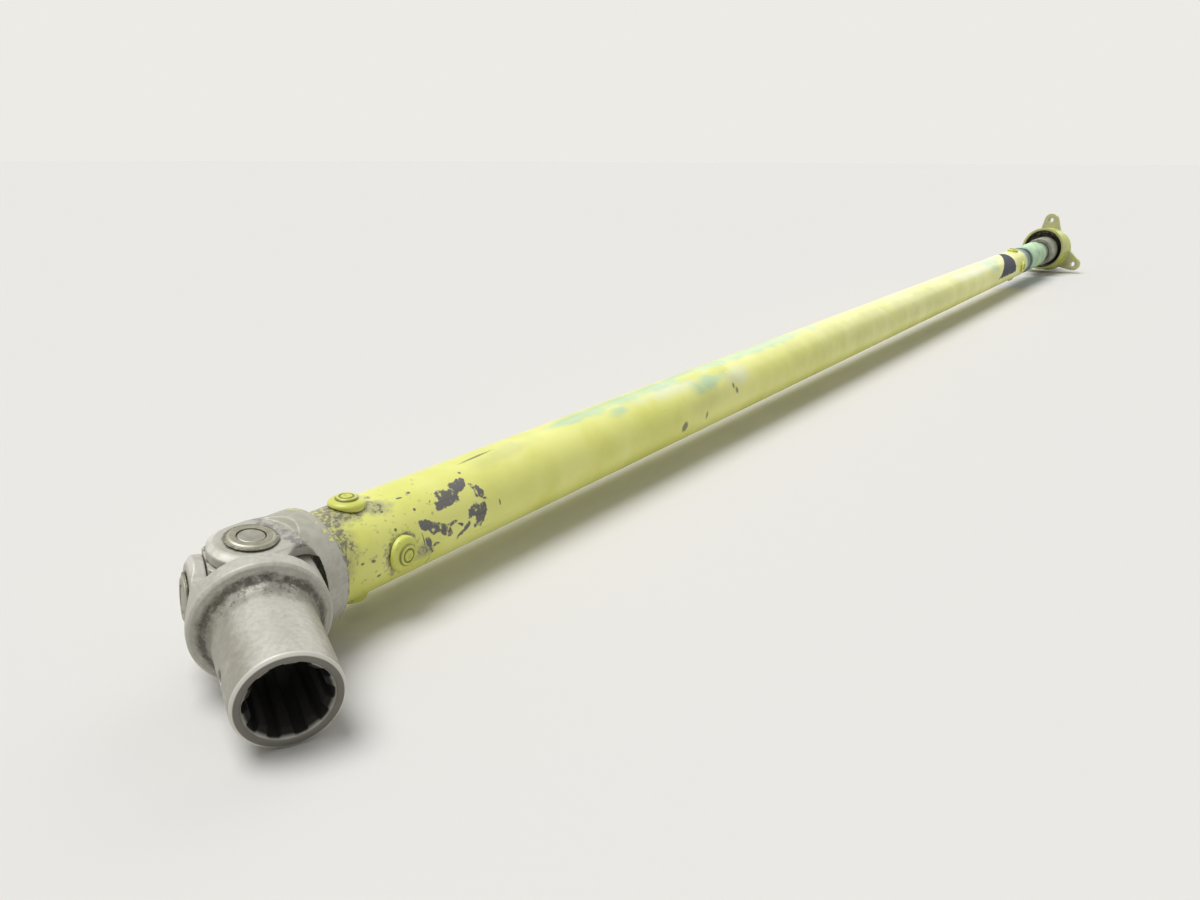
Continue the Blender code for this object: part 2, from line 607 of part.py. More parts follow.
def make_seal(name, side, parent, material):
    """Flat rubber seal between the two rings, set into the outer one."""
    middle = side * (OUTER_RING_WIDTH / 2 - SEAL_THICKNESS / 2)
    low = middle - SEAL_THICKNESS / 2
    high = middle + SEAL_THICKNESS / 2
    outer = OUTER_RING_BORE + FIT_GAP
    inner = INNER_RING_RADIUS + FIT_GAP
    outline = [(low, inner), (low, outer), (high, outer), (high, inner)]
    return turned_object(name, outline, MEDIUM_STEPS, parent, material, closed=True)


def make_balls_and_cage(parent, ball_steel, cage_brass):
    """Balls between the rings and the cage that spaces them."""
    half_turn = arc(0.0, 0.0, BALL_RADIUS, math.pi, 0.0, BALL_RINGS)
    low = BALL_CIRCLE_RADIUS - CAGE_HALF_THICKNESS
    high = BALL_CIRCLE_RADIUS + CAGE_HALF_THICKNESS
    side = CAGE_WIDTH / 2
    band = [(-side, low), (-side, high), (side, high), (side, low)]
    cage = turned_object("bearing_cage", band, 2 * BALL_COUNT, parent, cage_brass, closed=True)
    pockets = bmesh.new()
    pocket = plain_hole(BALL_CIRCLE_RADIUS - BALL_RADIUS, BALL_CIRCLE_RADIUS + BALL_RADIUS,
                        BALL_RADIUS + FIT_GAP)
    for index in range(BALL_COUNT):
        turn = Matrix.Rotation(2 * math.pi * index / BALL_COUNT, 4, "X")
        turned_object(f"bearing_ball_{index + 1:02d}", half_turn, BALL_STEPS, parent, ball_steel,
                      matrix=turn @ Matrix.Translation((0.0, 0.0, BALL_CIRCLE_RADIUS)))
        add_turned(pockets, pocket, BALL_STEPS, matrix=turn @ along_z())
    boolean(cage, make_object("cage_pockets", pockets, parent), "DIFFERENCE")
    return cage


def add_open_ring(builder, inner, outer, start, end, matrix):
    """Add a split ring, open over the circlip's gap at the bottom."""
    sweep = 2 * math.pi - CIRCLIP_GAP_ANGLE
    first = -math.pi / 2 + CIRCLIP_GAP_ANGLE / 2
    outline = arc(0.0, 0.0, outer, first, first + sweep, MEDIUM_STEPS)
    outline += arc(0.0, 0.0, inner, first + sweep, first, MEDIUM_STEPS)
    add_prism(builder, outline, start, end, matrix)


def make_shaft_circlip(parent, material):
    """Split ring in the shaft's groove that holds the inner ring."""
    builder = bmesh.new()
    inner = SEAT_RADIUS - CIRCLIP_GROOVE_DEPTH
    add_open_ring(builder, inner, inner + CIRCLIP_HEIGHT, CIRCLIP_START, CIRCLIP_START + CIRCLIP_WIDTH,
                  Matrix.Rotation(math.pi / 2, 4, "Y"))
    return make_object("shaft_circlip", builder, parent, material)


def make_aligning_race(parent, material):
    """Ring with a spherical inside, held in the housing, in which the bearing tilts."""
    half = RACE_WIDTH / 2
    bow = math.asin(half / RACE_SPHERE_RADIUS)
    inside = arc(0.0, 0.0, RACE_SPHERE_RADIUS, math.pi / 2 - bow, math.pi / 2 + bow, 4)
    outline = [(-half, RACE_RADIUS), (half, RACE_RADIUS)] + inside
    return turned_object("aligning_race", outline, MEDIUM_STEPS, parent, material, closed=True)


def rounded_corner(before, corner, after, radius, steps):
    """Points of a fillet that replaces a corner between two straight runs."""
    towards_before = (Vector(before) - Vector(corner)).normalized()
    towards_after = (Vector(after) - Vector(corner)).normalized()
    half = towards_before.angle(towards_after) / 2
    middle = (towards_before + towards_after).normalized()
    centre = Vector(corner) + middle * radius / math.sin(half)
    start = Vector(corner) + towards_before * radius / math.tan(half) - centre
    end = Vector(corner) + towards_after * radius / math.tan(half) - centre
    turn = start.angle_signed(end)
    return [centre + Matrix.Rotation(-turn * step / steps, 2) @ start for step in range(steps + 1)]


def flange_outline():
    """The housing's flange seen along its axis: a disc whose lugs blend in with fillets."""
    disc_radius = HOUSING_RADIUS + FLANGE_STEP
    side_x = LUG_RADIUS * math.cos(LUG_FLANK_ANGLE)
    side_y = LUG_CIRCLE_RADIUS + LUG_RADIUS * math.sin(LUG_FLANK_ANGLE)
    slope = math.tan(LUG_FLANK_ANGLE)
    reach = 1.0 + slope ** 2
    lean = side_x + side_y * slope
    foot_y = (lean * slope + math.sqrt(reach * disc_radius ** 2 - lean ** 2)) / reach
    foot_x = lean - foot_y * slope
    foot_angle = math.atan2(foot_y, foot_x)
    beside = foot_angle - LUG_FILLET_RADIUS / disc_radius
    pitch = 2 * math.pi / LUG_COUNT
    on_disc = (disc_radius * math.cos(beside), disc_radius * math.sin(beside))
    fillet = rounded_corner(on_disc, (foot_x, foot_y), (side_x, side_y), LUG_FILLET_RADIUS, 3)
    tip = arc(0.0, LUG_CIRCLE_RADIUS, LUG_RADIUS, LUG_FLANK_ANGLE, math.pi - LUG_FLANK_ANGLE, 9)
    mirrored = [(-point[0], point[1]) for point in reversed(fillet)]
    points = []
    for index in range(LUG_COUNT):
        turn = Matrix.Rotation(index * pitch, 2)
        points += [tuple(turn @ Vector(point)) for point in list(fillet) + tip + mirrored]
        rim_start = math.pi - beside + index * pitch
        rim_end = beside + (index + 1) * pitch
        points += arc(0.0, 0.0, disc_radius, rim_start, rim_end, 7)
    return points


def make_housing(parent, material):
    """Machined cup with three lugs at its back and a groove for its retaining ring."""
    front = -HOUSING_DEPTH / 2
    back = HOUSING_DEPTH / 2
    seat = RACE_WIDTH / 2 + FIT_GAP
    clip_start = -seat - CIRCLIP_WIDTH - 2 * FIT_GAP
    groove = HOUSING_BORE_RADIUS + CIRCLIP_GROOVE_DEPTH + FIT_GAP
    in_flange = back - LUG_THICKNESS / 2
    bore_chamfer = EDGE_CHAMFER / 2
    outline = [(seat, HOUSING_BORE_RADIUS), (-seat, HOUSING_BORE_RADIUS), (-seat, groove),
               (clip_start, groove), (clip_start, HOUSING_BORE_RADIUS),
               (front + bore_chamfer, HOUSING_BORE_RADIUS), (front, HOUSING_BORE_RADIUS + bore_chamfer),
               (front, HOUSING_RADIUS - EDGE_CHAMFER), (front + EDGE_CHAMFER, HOUSING_RADIUS),
               (in_flange, HOUSING_RADIUS)]
    housing = turned_object("bearing_housing", outline, FINE_STEPS, parent, material)
    lug_turn = Matrix.Rotation(LUG_ROLL, 4, "X")
    facing = Matrix.Rotation(math.pi / 2, 4, "Z") @ Matrix.Rotation(math.pi / 2, 4, "X")
    flange = prism_object("housing_flange", flange_outline(), back - LUG_THICKNESS, back, parent,
                          matrix=lug_turn @ facing)
    boolean(housing, flange, "UNION")
    opening = plain_hole(0.0, 2 * HOUSING_DEPTH, HOUSING_BORE_RADIUS - HOUSING_BACK_LIP)
    boolean(housing, turned_object("housing_opening", opening, FINE_STEPS, parent), "DIFFERENCE")
    drill = plain_hole(-HOUSING_DEPTH, HOUSING_DEPTH, LUG_HOLE_RADIUS)
    for index in range(LUG_COUNT):
        turn = Matrix.Rotation(LUG_ROLL + 2 * math.pi * index / LUG_COUNT, 4, "X")
        hole = turned_object(f"lug_hole_{index + 1}", drill, PIN_STEPS, parent,
                             matrix=turn @ Matrix.Translation((0.0, 0.0, LUG_CIRCLE_RADIUS)))
        boolean(housing, hole, "DIFFERENCE")
    return housing


def make_housing_clip(parent, material):
    """Split ring in the housing's groove that holds the aligning race."""
    builder = bmesh.new()
    outer = HOUSING_BORE_RADIUS + CIRCLIP_GROOVE_DEPTH
    start = -RACE_WIDTH / 2 - 2 * FIT_GAP - CIRCLIP_WIDTH
    add_open_ring(builder, outer - CIRCLIP_HEIGHT, outer, start, start + CIRCLIP_WIDTH,
                  Matrix.Rotation(math.pi / 2, 4, "Y"))
    return make_object("housing_retaining_ring", builder, parent, material)


def build():
    """Make every piece under the empties that stand on the joints' axes."""
    clear_scene()
    paint = make_material("chromate_paint", (0.52, 0.62, 0.08), 0.4, 0.0)
    washer_paint = make_material("washer_paint", (0.60, 0.68, 0.12), 0.45, 0.0)
    rivet_paint = make_material("rivet_paint", (0.58, 0.66, 0.14), 0.45, 0.0)
    forged = make_material("plated_forging", (0.42, 0.41, 0.36), 0.5, 0.7)
    hub_steel = make_material("plated_hub", (0.46, 0.45, 0.40), 0.5, 0.7)
    pin_steel = make_material("pin_steel", (0.38, 0.37, 0.33), 0.4, 0.9)
    bush_bronze = make_material("bush_bronze", (0.45, 0.42, 0.30), 0.45, 0.8)
    shaft_plate = make_material("shaft_plating", (0.46, 0.56, 0.36), 0.45, 0.5)
    ring_steel = make_material("bearing_steel", (0.52, 0.52, 0.50), 0.3, 1.0)
    rubber = make_material("seal_rubber", (0.03, 0.03, 0.028), 0.7, 0.0)
    brass = make_material("cage_brass", (0.60, 0.42, 0.16), 0.4, 1.0)
    spring_steel = make_material("spring_steel", (0.16, 0.16, 0.15), 0.4, 0.9)

    datum = make_empty("tube_axis", station=0.0)
    make_tube(datum, paint)
    for end in ("near", "far"):
        make_rivets(end, datum, rivet_paint)
        make_washers(end, datum, washer_paint)

    fork_frame = make_empty("tube_fork_frame", parent=datum, rotation=Matrix.Rotation(FORK_ROLL, 3, "X"))
    make_tube_yoke(fork_frame, datum, forged)
    make_bushes("tube_yoke_bush", fork_frame, bush_bronze)

    bend = Matrix.Rotation(BEND_AT_REST, 3, "Z")
    cross_frame = make_empty("cross_frame", parent=fork_frame, rotation=bend)
    make_cross(cross_frame, forged, pin_steel)

    hub_turn = Matrix.Rotation(math.pi, 3, "Z") @ Matrix.Rotation(math.pi / 2, 3, "X")
    hub_frame = make_empty("splined_fork_frame", parent=cross_frame, rotation=hub_turn)
    make_splined_yoke(hub_frame, hub_steel)
    make_bushes("splined_yoke_bush", hub_frame, bush_bronze)

    make_bearing_shaft(datum, shaft_plate)
    make_spacer(datum, ring_steel)
    make_shaft_circlip(datum, spring_steel)

    bearing_centre = make_empty("bearing_centre", station=BEARING_STATION)
    make_inner_ring(bearing_centre, ring_steel)
    make_balls_and_cage(bearing_centre, ring_steel, brass)
    make_outer_ring(bearing_centre, ring_steel)
    make_seal("bearing_seal_front", -1, bearing_centre, rubber)
    make_seal("bearing_seal_rear", 1, bearing_centre, rubber)

    tilt_axis = Vector((0.0, math.sin(HOUSING_TILT_HEADING), -math.cos(HOUSING_TILT_HEADING)))
    housing_frame = make_empty("housing_frame", parent=bearing_centre,
                               rotation=Matrix.Rotation(HOUSING_TILT, 3, tilt_axis))
    make_housing(housing_frame, paint)
    make_aligning_race(housing_frame, ring_steel)
    make_housing_clip(housing_frame, spring_steel)


build()
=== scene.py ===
import json
import math

import bmesh
import bpy
from mathutils import Matrix, Vector


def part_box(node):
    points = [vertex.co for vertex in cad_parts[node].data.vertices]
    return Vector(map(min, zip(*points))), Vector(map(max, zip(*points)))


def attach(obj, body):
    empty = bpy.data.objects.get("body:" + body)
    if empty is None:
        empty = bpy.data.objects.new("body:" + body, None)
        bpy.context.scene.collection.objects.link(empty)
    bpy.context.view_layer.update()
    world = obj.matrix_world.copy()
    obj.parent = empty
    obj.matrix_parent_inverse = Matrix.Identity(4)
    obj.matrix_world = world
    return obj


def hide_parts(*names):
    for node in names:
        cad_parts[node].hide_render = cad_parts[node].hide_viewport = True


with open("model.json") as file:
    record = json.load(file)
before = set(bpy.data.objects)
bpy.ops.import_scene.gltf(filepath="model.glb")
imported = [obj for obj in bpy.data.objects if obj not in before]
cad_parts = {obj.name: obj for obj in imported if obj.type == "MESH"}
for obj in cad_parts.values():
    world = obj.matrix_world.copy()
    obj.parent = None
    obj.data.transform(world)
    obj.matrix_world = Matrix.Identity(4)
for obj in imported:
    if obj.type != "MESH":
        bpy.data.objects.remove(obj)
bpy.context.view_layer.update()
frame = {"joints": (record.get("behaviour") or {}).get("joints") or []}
MM = 0.001

# Floor, light and camera
# A plain pale floor without walls, under a broad lamp, a low lamp beyond the rod and an even sky. The
# floor leans a third of a degree: the rod lies on the rim of its splined hub and on its housing's lugs.
FLOOR_COLOUR = "#dedcd8"
SKY_COLOUR = "#edebe6"
SKY_STRENGTH = 0.33
# Each lamp: its name, strength, heading and spread in degrees
LAMPS = [("broad_lamp", 2.45, (0.16, -0.24, -1.0), 38.0), ("low_far_lamp", 0.42, (-0.88, -0.16, -0.42), 46.0)]
FLOOR_HALF_SIZE = 40.0
CAMERA_PLACE = (-1.4480, -0.2202, 0.1179)
CAMERA_AIM = (0.79963, 0.52504, -0.29142)
CAMERA_LENS = 29.13
CAMERA_NEAREST = 0.01


def hex_colour(code):
    """A colour written as sRGB hex, as linear RGBA."""
    channels = [int(code[place:place + 2], 16) / 255 for place in (1, 3, 5)]
    return (*[c / 12.92 if c <= 0.04045 else ((c + 0.055) / 1.055) ** 2.4 for c in channels], 1.0)


def output(made):
    """What a node gives, its first output in use; anything else is passed on as it is."""
    return next(way for way in made.outputs if way.enabled) if isinstance(made, bpy.types.Node) else made


def node(tree, kind, settings=None, links=None):
    """Add one shader node; settings are its properties or ramp stops, links fill its inputs."""
    made = tree.nodes.new("ShaderNode" + kind)
    for name, value in (settings or {}).items():
        if name != "stops":
            setattr(made, name, value)
            continue
        for element, (position, colour) in zip(made.color_ramp.elements, value):
            element.position = position
            element.color = hex_colour(colour)
    for name, value in (links or {}).items():
        socket = made.inputs[name] if isinstance(name, int) else next(
            entry for entry in made.inputs if entry.enabled and entry.name == name)
        value = output(value)
        if isinstance(value, bpy.types.NodeSocket):
            tree.links.new(value, socket)
        else:
            socket.default_value = value
    return made


def link_object(name, data):
    """Put new data into the scene as an object."""
    made = bpy.data.objects.new(name, data)
    bpy.context.scene.collection.objects.link(made)
    return made


near_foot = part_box("splined_yoke")[0]
far_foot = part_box("bearing_housing")[0]
corners = [(x * FLOOR_HALF_SIZE, y * FLOOR_HALF_SIZE, 0.0) for x, y in ((-1, -1), (1, -1), (1, 1), (-1, 1))]
floor_mesh = bpy.data.meshes.new("floor")
floor_mesh.from_pydata(corners, [], [(0, 1, 2, 3)])
floor = link_object("floor", floor_mesh)
floor.location = (near_foot.x, 0.0, near_foot.z)
floor.rotation_euler = (0.0, math.atan2(near_foot.z - far_foot.z, far_foot.x - near_foot.x), 0.0)
# Matt paper: one even pale grey without gloss
floor_paper = bpy.data.materials.new("matt_studio_paper")
floor_paper.use_nodes = True
paper_inputs = floor_paper.node_tree.nodes["Principled BSDF"].inputs
paper_inputs["Base Color"].default_value = hex_colour(FLOOR_COLOUR)
paper_inputs["Roughness"].default_value = 1.0
paper_inputs["Specular IOR Level"].default_value = 0.0
floor_mesh.materials.append(floor_paper)

# The sky lights the rod with an even white, and shows and mirrors as the pale paper
sky = bpy.data.worlds.new("studio_sky")
bpy.context.scene.world = sky
sky.use_nodes = True
sky_tree = sky.node_tree
sky_tree.nodes.clear()
even_light = node(sky_tree, "Background", None, {"Color": hex_colour("#ffffff"), "Strength": SKY_STRENGTH})
paper_light = node(sky_tree, "Background", None, {"Color": hex_colour(SKY_COLOUR), "Strength": 1.0})
seen = 0.0
for ray_kind in ("Is Camera Ray", "Is Glossy Ray", "Is Transmission Ray"):
    ray = node(sky_tree, "LightPath").outputs[ray_kind]
    seen = node(sky_tree, "Math", {"operation": "MAXIMUM"}, {0: seen, 1: ray})
sky_mix = node(sky_tree, "MixShader", None, {0: seen, 1: even_light, 2: paper_light})
node(sky_tree, "OutputWorld", None, {"Surface": sky_mix})

for lamp_name, strength, heading, lamp_spread in LAMPS:
    lamp_data = bpy.data.lights.new(lamp_name, "SUN")
    lamp_data.energy = strength
    lamp_data.angle = math.radians(lamp_spread)
    lamp = link_object(lamp_name, lamp_data)
    lamp.rotation_euler = Vector(heading).to_track_quat("-Z", "Y").to_euler()

camera_data = bpy.data.cameras.new("camera")
camera_data.lens = CAMERA_LENS
camera_data.clip_start = CAMERA_NEAREST
camera_data.clip_end = 4 * FLOOR_HALF_SIZE
camera = link_object("camera", camera_data)
camera.location = CAMERA_PLACE
camera.rotation_euler = Vector(CAMERA_AIM).to_track_quat("-Z", "Y").to_euler()
bpy.context.scene.camera = camera
bpy.context.scene.view_settings.view_transform = "Standard"

# Torque tube
# A drawn aluminium tube, 30 mm outside with a 2 mm wall, sprayed with yellow-green epoxy primer.
# Handling has rubbed grey patches through the primer by the fork and left stains along it.
TUBE_RADIUS = 15.0 * MM
TUBE_WALL = 2.0 * MM
TUBE_EDGE = 0.4 * MM
PRIMER_LIGHT = "#eff08a"
PRIMER_DEEP = "#e3e571"
PRIMER_IOR = 1.5
GRIME_DARK = "#4b463c"
GRIME_GREY = "#85827c"
GRIME_BROWN = "#6d675f"
GRIME_FILM = "#98957f"
BARE_GREY = "#72716f"
BARE_BROWN = "#6a5740"
BARE_ROUGHNESS = 0.85
STAIN_TEAL = "#93c7ac"
STAIN_PALE = "#e2ead2"
STAIN_YELLOW = "#dcdf55"
STAIN_NAVY = "#2b3250"
NAVY_FROM = 877 * MM
NAVY_TO = 951 * MM
NAVY_SLANT = -2.5
# From the tube's near end in mm, angle in degrees, half length and half width in mm, soft edge, turn
TEAL_STAINS = [(190, 87, 55, 4, 0.6, 0), (310, 88, 80, 4, 0.6, 0), (240, 48, 16, 4.2, 0.6, 8),
               (163, 63, 6, 3, 0.6, 0), (140, 84, 22, 2.6, 0.6, 0), (872, 80, 32, 7, 0.4, 0),
               (862, 36, 16, 5, 0.5, 0), (968, 96, 22, 4, 0.4, 0)]
PALE_STAINS = [(800, 56, 70, 5, 0.5, 0), (270, 40, 12, 5, 0.6, 0), (205, 66, 26, 4, 0.6, 0)]
YELLOW_PATCHES = [(232, 78, 15, 3.4, 0.25, 0), (256, 68, 12, 3, 0.25, 0), (984, 50, 24, 24, 0.2, 0)]
HAND_SMUDGES = [(450, 30, 80, 8, 0.8, 0), (600, 30, 90, 8, 0.8, 0), (236, 22, 22, 5, 0.8, 0),
                (85, 70, 14, 3, 0.7, 4),
                (262, 30, 7, 6, 0.8, 0)]
LOST_PRIMER = [(47.5, 40, 6, 3, 0.1, 12), (54, 47, 5.2, 2.2, 0.1, 20), (45, 34, 3, 2, 0.1, -10),
               (63.2, 29.5, 3.6, 1.7, 0.12, -52), (35.8, 18, 2.9, 1.7, 0.12, -10),
               (39.6, 9, 3.4, 1.7, 0.12, -42),
               (43.8, 0, 4.2, 1.6, 0.12, -42), (48.6, 5.4, 3.4, 0.8, 0.12, 4), (51, 0, 3, 0.6, 0.12, -30),
               (54.6, -9, 3.6, 1.3, 0.12, 34), (58.6, 8, 3.4, 2.4, 0.12, 30), (61.4, -3, 2.9, 2.6, 0.12, 60),
               (63.6, 9, 1.6, 2.2, 0.12, 0), (36.2, -8, 3.2, 0.9, 0.12, -58), (39.6, -13, 1.6, 0.8, 0.12, 0),
               (36.6, 64.2, 0.9, 0.45, 0.2, 10), (32.1, 62, 1.2, 0.4, 0.2, -10), (34, 40, 0.6, 0.5, 0.2, 0)]
END_DIRT = [(2.6, 44, 5.6, 9.5, 0.5, 0), (6, 92, 12, 6.5, 0.4, 0), (1, 12, 3.6, 6, 0.5, 0),
            (4, 72, 5.6, 5, 0.5, 0)]
# Rings round the washers: dirt, and painted shade at their feet
WASHER_DIRT_AND_SHADE = [(15.6, 86, 7.8, 7.6, 0.2, 0), (20.4, 66, 6.4, 3.4, 0.5, -20), (24.2, -4, 7.3, 7.2, 0.15, 0),
               (34, -15, 5, 2.8, 0.5, -20), (10, 66, 5, 3, 0.5, 0)]
DARK_SPECKS = [(61.2, 64.3, 0.6, 0.6, 0.2, 0), (72.4, 4.7, 0.4, 1.2, 0.3, 10),
               (208.8, -13, 2.6, 2.6, 0.35, 0),
               (263.6, 12.9, 1.2, 1.6, 0.6, 20), (261, 24, 1, 1.4, 0.6, -10), (230.5, -9.2, 1, 1.8, 0.6, 0),
               (75, 82, 8, 0.5, 0.5, 3), (12, 2.3, 0.9, 0.5, 0.3, -20), (22.2, 53.1, 0.6, 0.4, 0.3, 0),
               (23.3, 26.3, 0.5, 0.5, 0.3, 0), (7.6, 4.7, 0.7, 0.4, 0.3, 0), (14.6, -21, 0.8, 0.5, 0.3, 0),
               (33.8, 0.5, 0.25, 2.4, 0.3, 14), (38, -38, 0.25, 2, 0.3, -20)]


def soften(outline, reach, closed=False):
    """Round every corner of an outline with a short curve, as deburring leaves it."""
    points = []
    count = len(outline)
    for index in range(count):
        corner = Vector(outline[index])
        if not closed and index in (0, count - 1):
            points.append(corner)
            continue
        before = Vector(outline[index - 1]) - corner
        after = Vector(outline[(index + 1) % count]) - corner
        cut = min(reach, 0.45 * before.length, 0.45 * after.length)
        start = corner + before.normalized() * cut
        end = corner + after.normalized() * cut
        for share in (0, 1 / 3, 2 / 3, 1):
            points.append((1 - share) ** 2 * start + 2 * share * (1 - share) * corner + share ** 2 * end)
    return points


def loft(name, rings, closed=False):
    """A skin over rings of points, which either closes on itself or gets an end cap on each side."""
    builder = bmesh.new()
    made = [[builder.verts.new(point) for point in ring] for ring in rings]
    pairs = list(zip(made, made[1:])) + ([(made[-1], made[0])] if closed else [])
    for first, second in pairs:
        for index in range(max(len(first), len(second))):
            corners = [first[index % len(first)], first[(index + 1) % len(first)],
                       second[(index + 1) % len(second)], second[index % len(second)]]
            corners = list(dict.fromkeys(corners))
            if len(corners) > 2:
                builder.faces.new(corners)
    for ring in () if closed else (made[0], made[-1]):
        if len(ring) > 2:
            builder.faces.new(ring)
    bmesh.ops.recalc_face_normals(builder, faces=builder.faces)
    mesh = bpy.data.meshes.new(name)
    builder.to_mesh(mesh)
    builder.free()
    mesh.shade_smooth()
    return link_object(name, mesh)


def turned(name, outline, steps, closed=False, place=None):
    """A piece turned about X and then put in its place; outline points are (distance along X, radius)."""
    turns = [2 * math.pi * step / steps for step in range(steps)]
    rings = [[(along, radius * math.cos(turn), radius * math.sin(turn))
              for turn in (turns if radius else [0.0])]
             for along, radius in outline]
    piece = loft(name, rings, closed)
    if place is not None:
        piece.data.transform(place)
    return piece


def seat(piece, finish, body, slot, *nodes, crisp=True):
    """Give a piece its finish and its body, in place of the solids that it stands for.

    A crisp piece is shaded by its large faces, so that flats look flat beside small rounded edges.
    """
    if crisp:
        modifier = piece.modifiers.new("even_normals", "WEIGHTED_NORMAL")
        modifier.mode = "FACE_AREA"
        modifier.weight = 50
    finish.feed("Base Color", finish.colour)
    piece.data.materials.clear()
    piece.data.materials.append(finish.material)
    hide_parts(*nodes)
    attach(piece, body)


def pattern_scale(size_in_mm):
    """The texture scale at which one feature of a pattern is this many millimetres wide."""
    return 1.0 / (size_in_mm * MM)


class Finish:
    """A material in the making: its shader, a piece's own coordinates and the colour so far."""

    def __init__(self, name, at=None, metallic=0.0, roughness=0.5):
        self.material = bpy.data.materials.new(name)
        self.material.use_nodes = True
        self.tree = self.material.node_tree
        self.shader = self.tree.nodes["Principled BSDF"]
        self.shader.inputs["Metallic"].default_value = metallic
        self.shader.inputs["Roughness"].default_value = roughness
        self.place = node(self.tree, "TexCoord").outputs["Object"]
        if at is not None:
            back = at.inverted()
            self.place = node(self.tree, "Mapping", None, {
                "Vector": self.place, "Location": tuple(back.translation),
                "Rotation": tuple(back.to_euler())})

    def feed(self, socket, value):
        """Lead a value into the shader."""
        self.tree.links.new(output(value), self.shader.inputs[socket])

    def distance(self, first, second):
        """How far a point is from the axis that two of its coordinates are measured from."""
        flat = node(self.tree, "CombineXYZ", None, {"X": first, "Y": second})
        return node(self.tree, "VectorMath", {"operation": "LENGTH"}, {0: flat})

    def meet(self, *masks):
        """Where all masks meet; one of them may be a plain share."""
        result = masks[0]
        for mask in masks[1:]:
            result = node(self.tree, "Math", {"operation": "MULTIPLY"}, {0: result, 1: mask})
        return result

    def zone(self, value, low, high, soft):
        """One between two limits and nothing beyond them, with soft edges; None leaves a side open."""
        sides = []
        for limit, before, after in ((low, 0.0, 1.0), (high, 1.0, 0.0)):
            if limit is not None:
                sides.append(node(self.tree, "MapRange", {"interpolation_type": "SMOOTHSTEP"}, {
                    "Value": value, "From Min": limit - soft, "From Max": limit + soft,
                    "To Min": before, "To Max": after}))
        return self.meet(*sides)

    def specks(self, size_in_mm, share, *region, edge=0.05, place=None):
        """Specks that thin out as their region fades; the share is how much they cover in its middle."""
        noise = node(self.tree, "TexNoise", None, {
            "Vector": place or self.place, "Scale": pattern_scale(size_in_mm), "Detail": 8.0,
            "Roughness": 0.7})
        reach = node(self.tree, "Math", {"operation": "MULTIPLY_ADD"},
                     {0: self.meet(*region), 1: 0.4, 2: noise})
        return self.zone(reach, 1.025 - 0.25 * share, None, edge)

    def ragged(self, size_in_mm, amount):
        """Noise round zero that breaks the edge of a mark."""
        noise = node(self.tree, "TexNoise", None, {
            "Vector": self.place, "Scale": pattern_scale(size_in_mm), "Detail": 6.0, "Roughness": 0.62})
        return node(self.tree, "MapRange", None, {
            "Value": noise, "From Min": 0.25, "From Max": 0.75, "To Min": -amount, "To Max": amount})

    def stain(self, code, strength, *masks):
        """Lay a stain over the colour where its masks meet, as strongly as is given."""
        self.colour = node(self.tree, "Mix", {"data_type": "RGBA"}, {
            "Factor": self.meet(*masks, strength), "A": self.colour, "B": hex_colour(code)})

    def mottle(self, size_in_mm, detail, shades, rough=None, grain=0.5, span=(0.0, 1.0)):
        """Clouds in two shades, each with where it starts, and a roughness that may follow them."""
        clouds = node(self.tree, "TexNoise", None, {
            "Vector": self.place, "Scale": pattern_scale(size_in_mm), "Detail": detail, "Roughness": grain})
        self.colour = node(self.tree, "ValToRGB", {"stops": shades}, {"Fac": clouds})
        if rough:
            self.feed("Roughness", node(self.tree, "MapRange", None, {
                "Value": clouds, "From Min": span[0], "From Max": span[1], "To Min": rough[0],
                "To Max": rough[1]}))

    def roughen(self, size_in_mm, detail, strength, depth):
        """Fine unevenness that catches the light."""
        grain = node(self.tree, "TexNoise", None, {
            "Vector": self.place, "Scale": pattern_scale(size_in_mm), "Detail": detail})
        self.feed("Normal", node(self.tree, "Bump", None, {
            "Strength": strength, "Distance": depth, "Height": grain}))


def sprayed_primer(name, light, deep, at=None):
    """Epoxy primer as sprayed: satin, in two close shades, with fine peel and a film of dust."""
    primer = Finish(name, at)
    primer.mottle(26, 3, [(0.38, deep), (0.62, light)])
    gloss = node(primer.tree, "TexNoise", None,
                 {"Vector": primer.place, "Scale": pattern_scale(14), "Detail": 5.0})
    primer.feed("Roughness", node(primer.tree, "MapRange", None,
                                  {"Value": gloss, "To Min": 0.24, "To Max": 0.38}))
    # Peel is about 0.8 mm across; it is drawn at 1.5 mm so that it shows
    primer.roughen(1.5, 2, 0.10, 0.05 * MM)
    primer.shader.inputs["IOR"].default_value = PRIMER_IOR
    return primer


tube_low, tube_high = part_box("torque_tube")
tube_bore = TUBE_RADIUS - TUBE_WALL
tube_outline = [(tube_low.x, tube_bore), (tube_low.x, TUBE_RADIUS),
                (tube_high.x, TUBE_RADIUS), (tube_high.x, tube_bore)]
tube = turned("painted_tube", soften(tube_outline, TUBE_EDGE, True), 160, True)
paint = sprayed_primer("epoxy_primer_on_aluminium_tube", PRIMER_LIGHT, PRIMER_DEEP)

# The tube's skin unrolled: X along it, Y the arc length round it from its -Y side towards the top
tube_parts = node(paint.tree, "SeparateXYZ", None, {"Vector": paint.place}).outputs
tube_front = node(paint.tree, "Math", {"operation": "MULTIPLY"}, {0: tube_parts["Y"], 1: -1.0})
tube_angle = node(paint.tree, "Math", {"operation": "ARCTAN2"}, {0: tube_parts["Z"], 1: tube_front})
tube_arc = node(paint.tree, "Math", {"operation": "MULTIPLY"}, {0: tube_angle, 1: TUBE_RADIUS})
tube_skin = node(paint.tree, "CombineXYZ", None, {"X": tube_parts["X"], "Y": tube_arc})


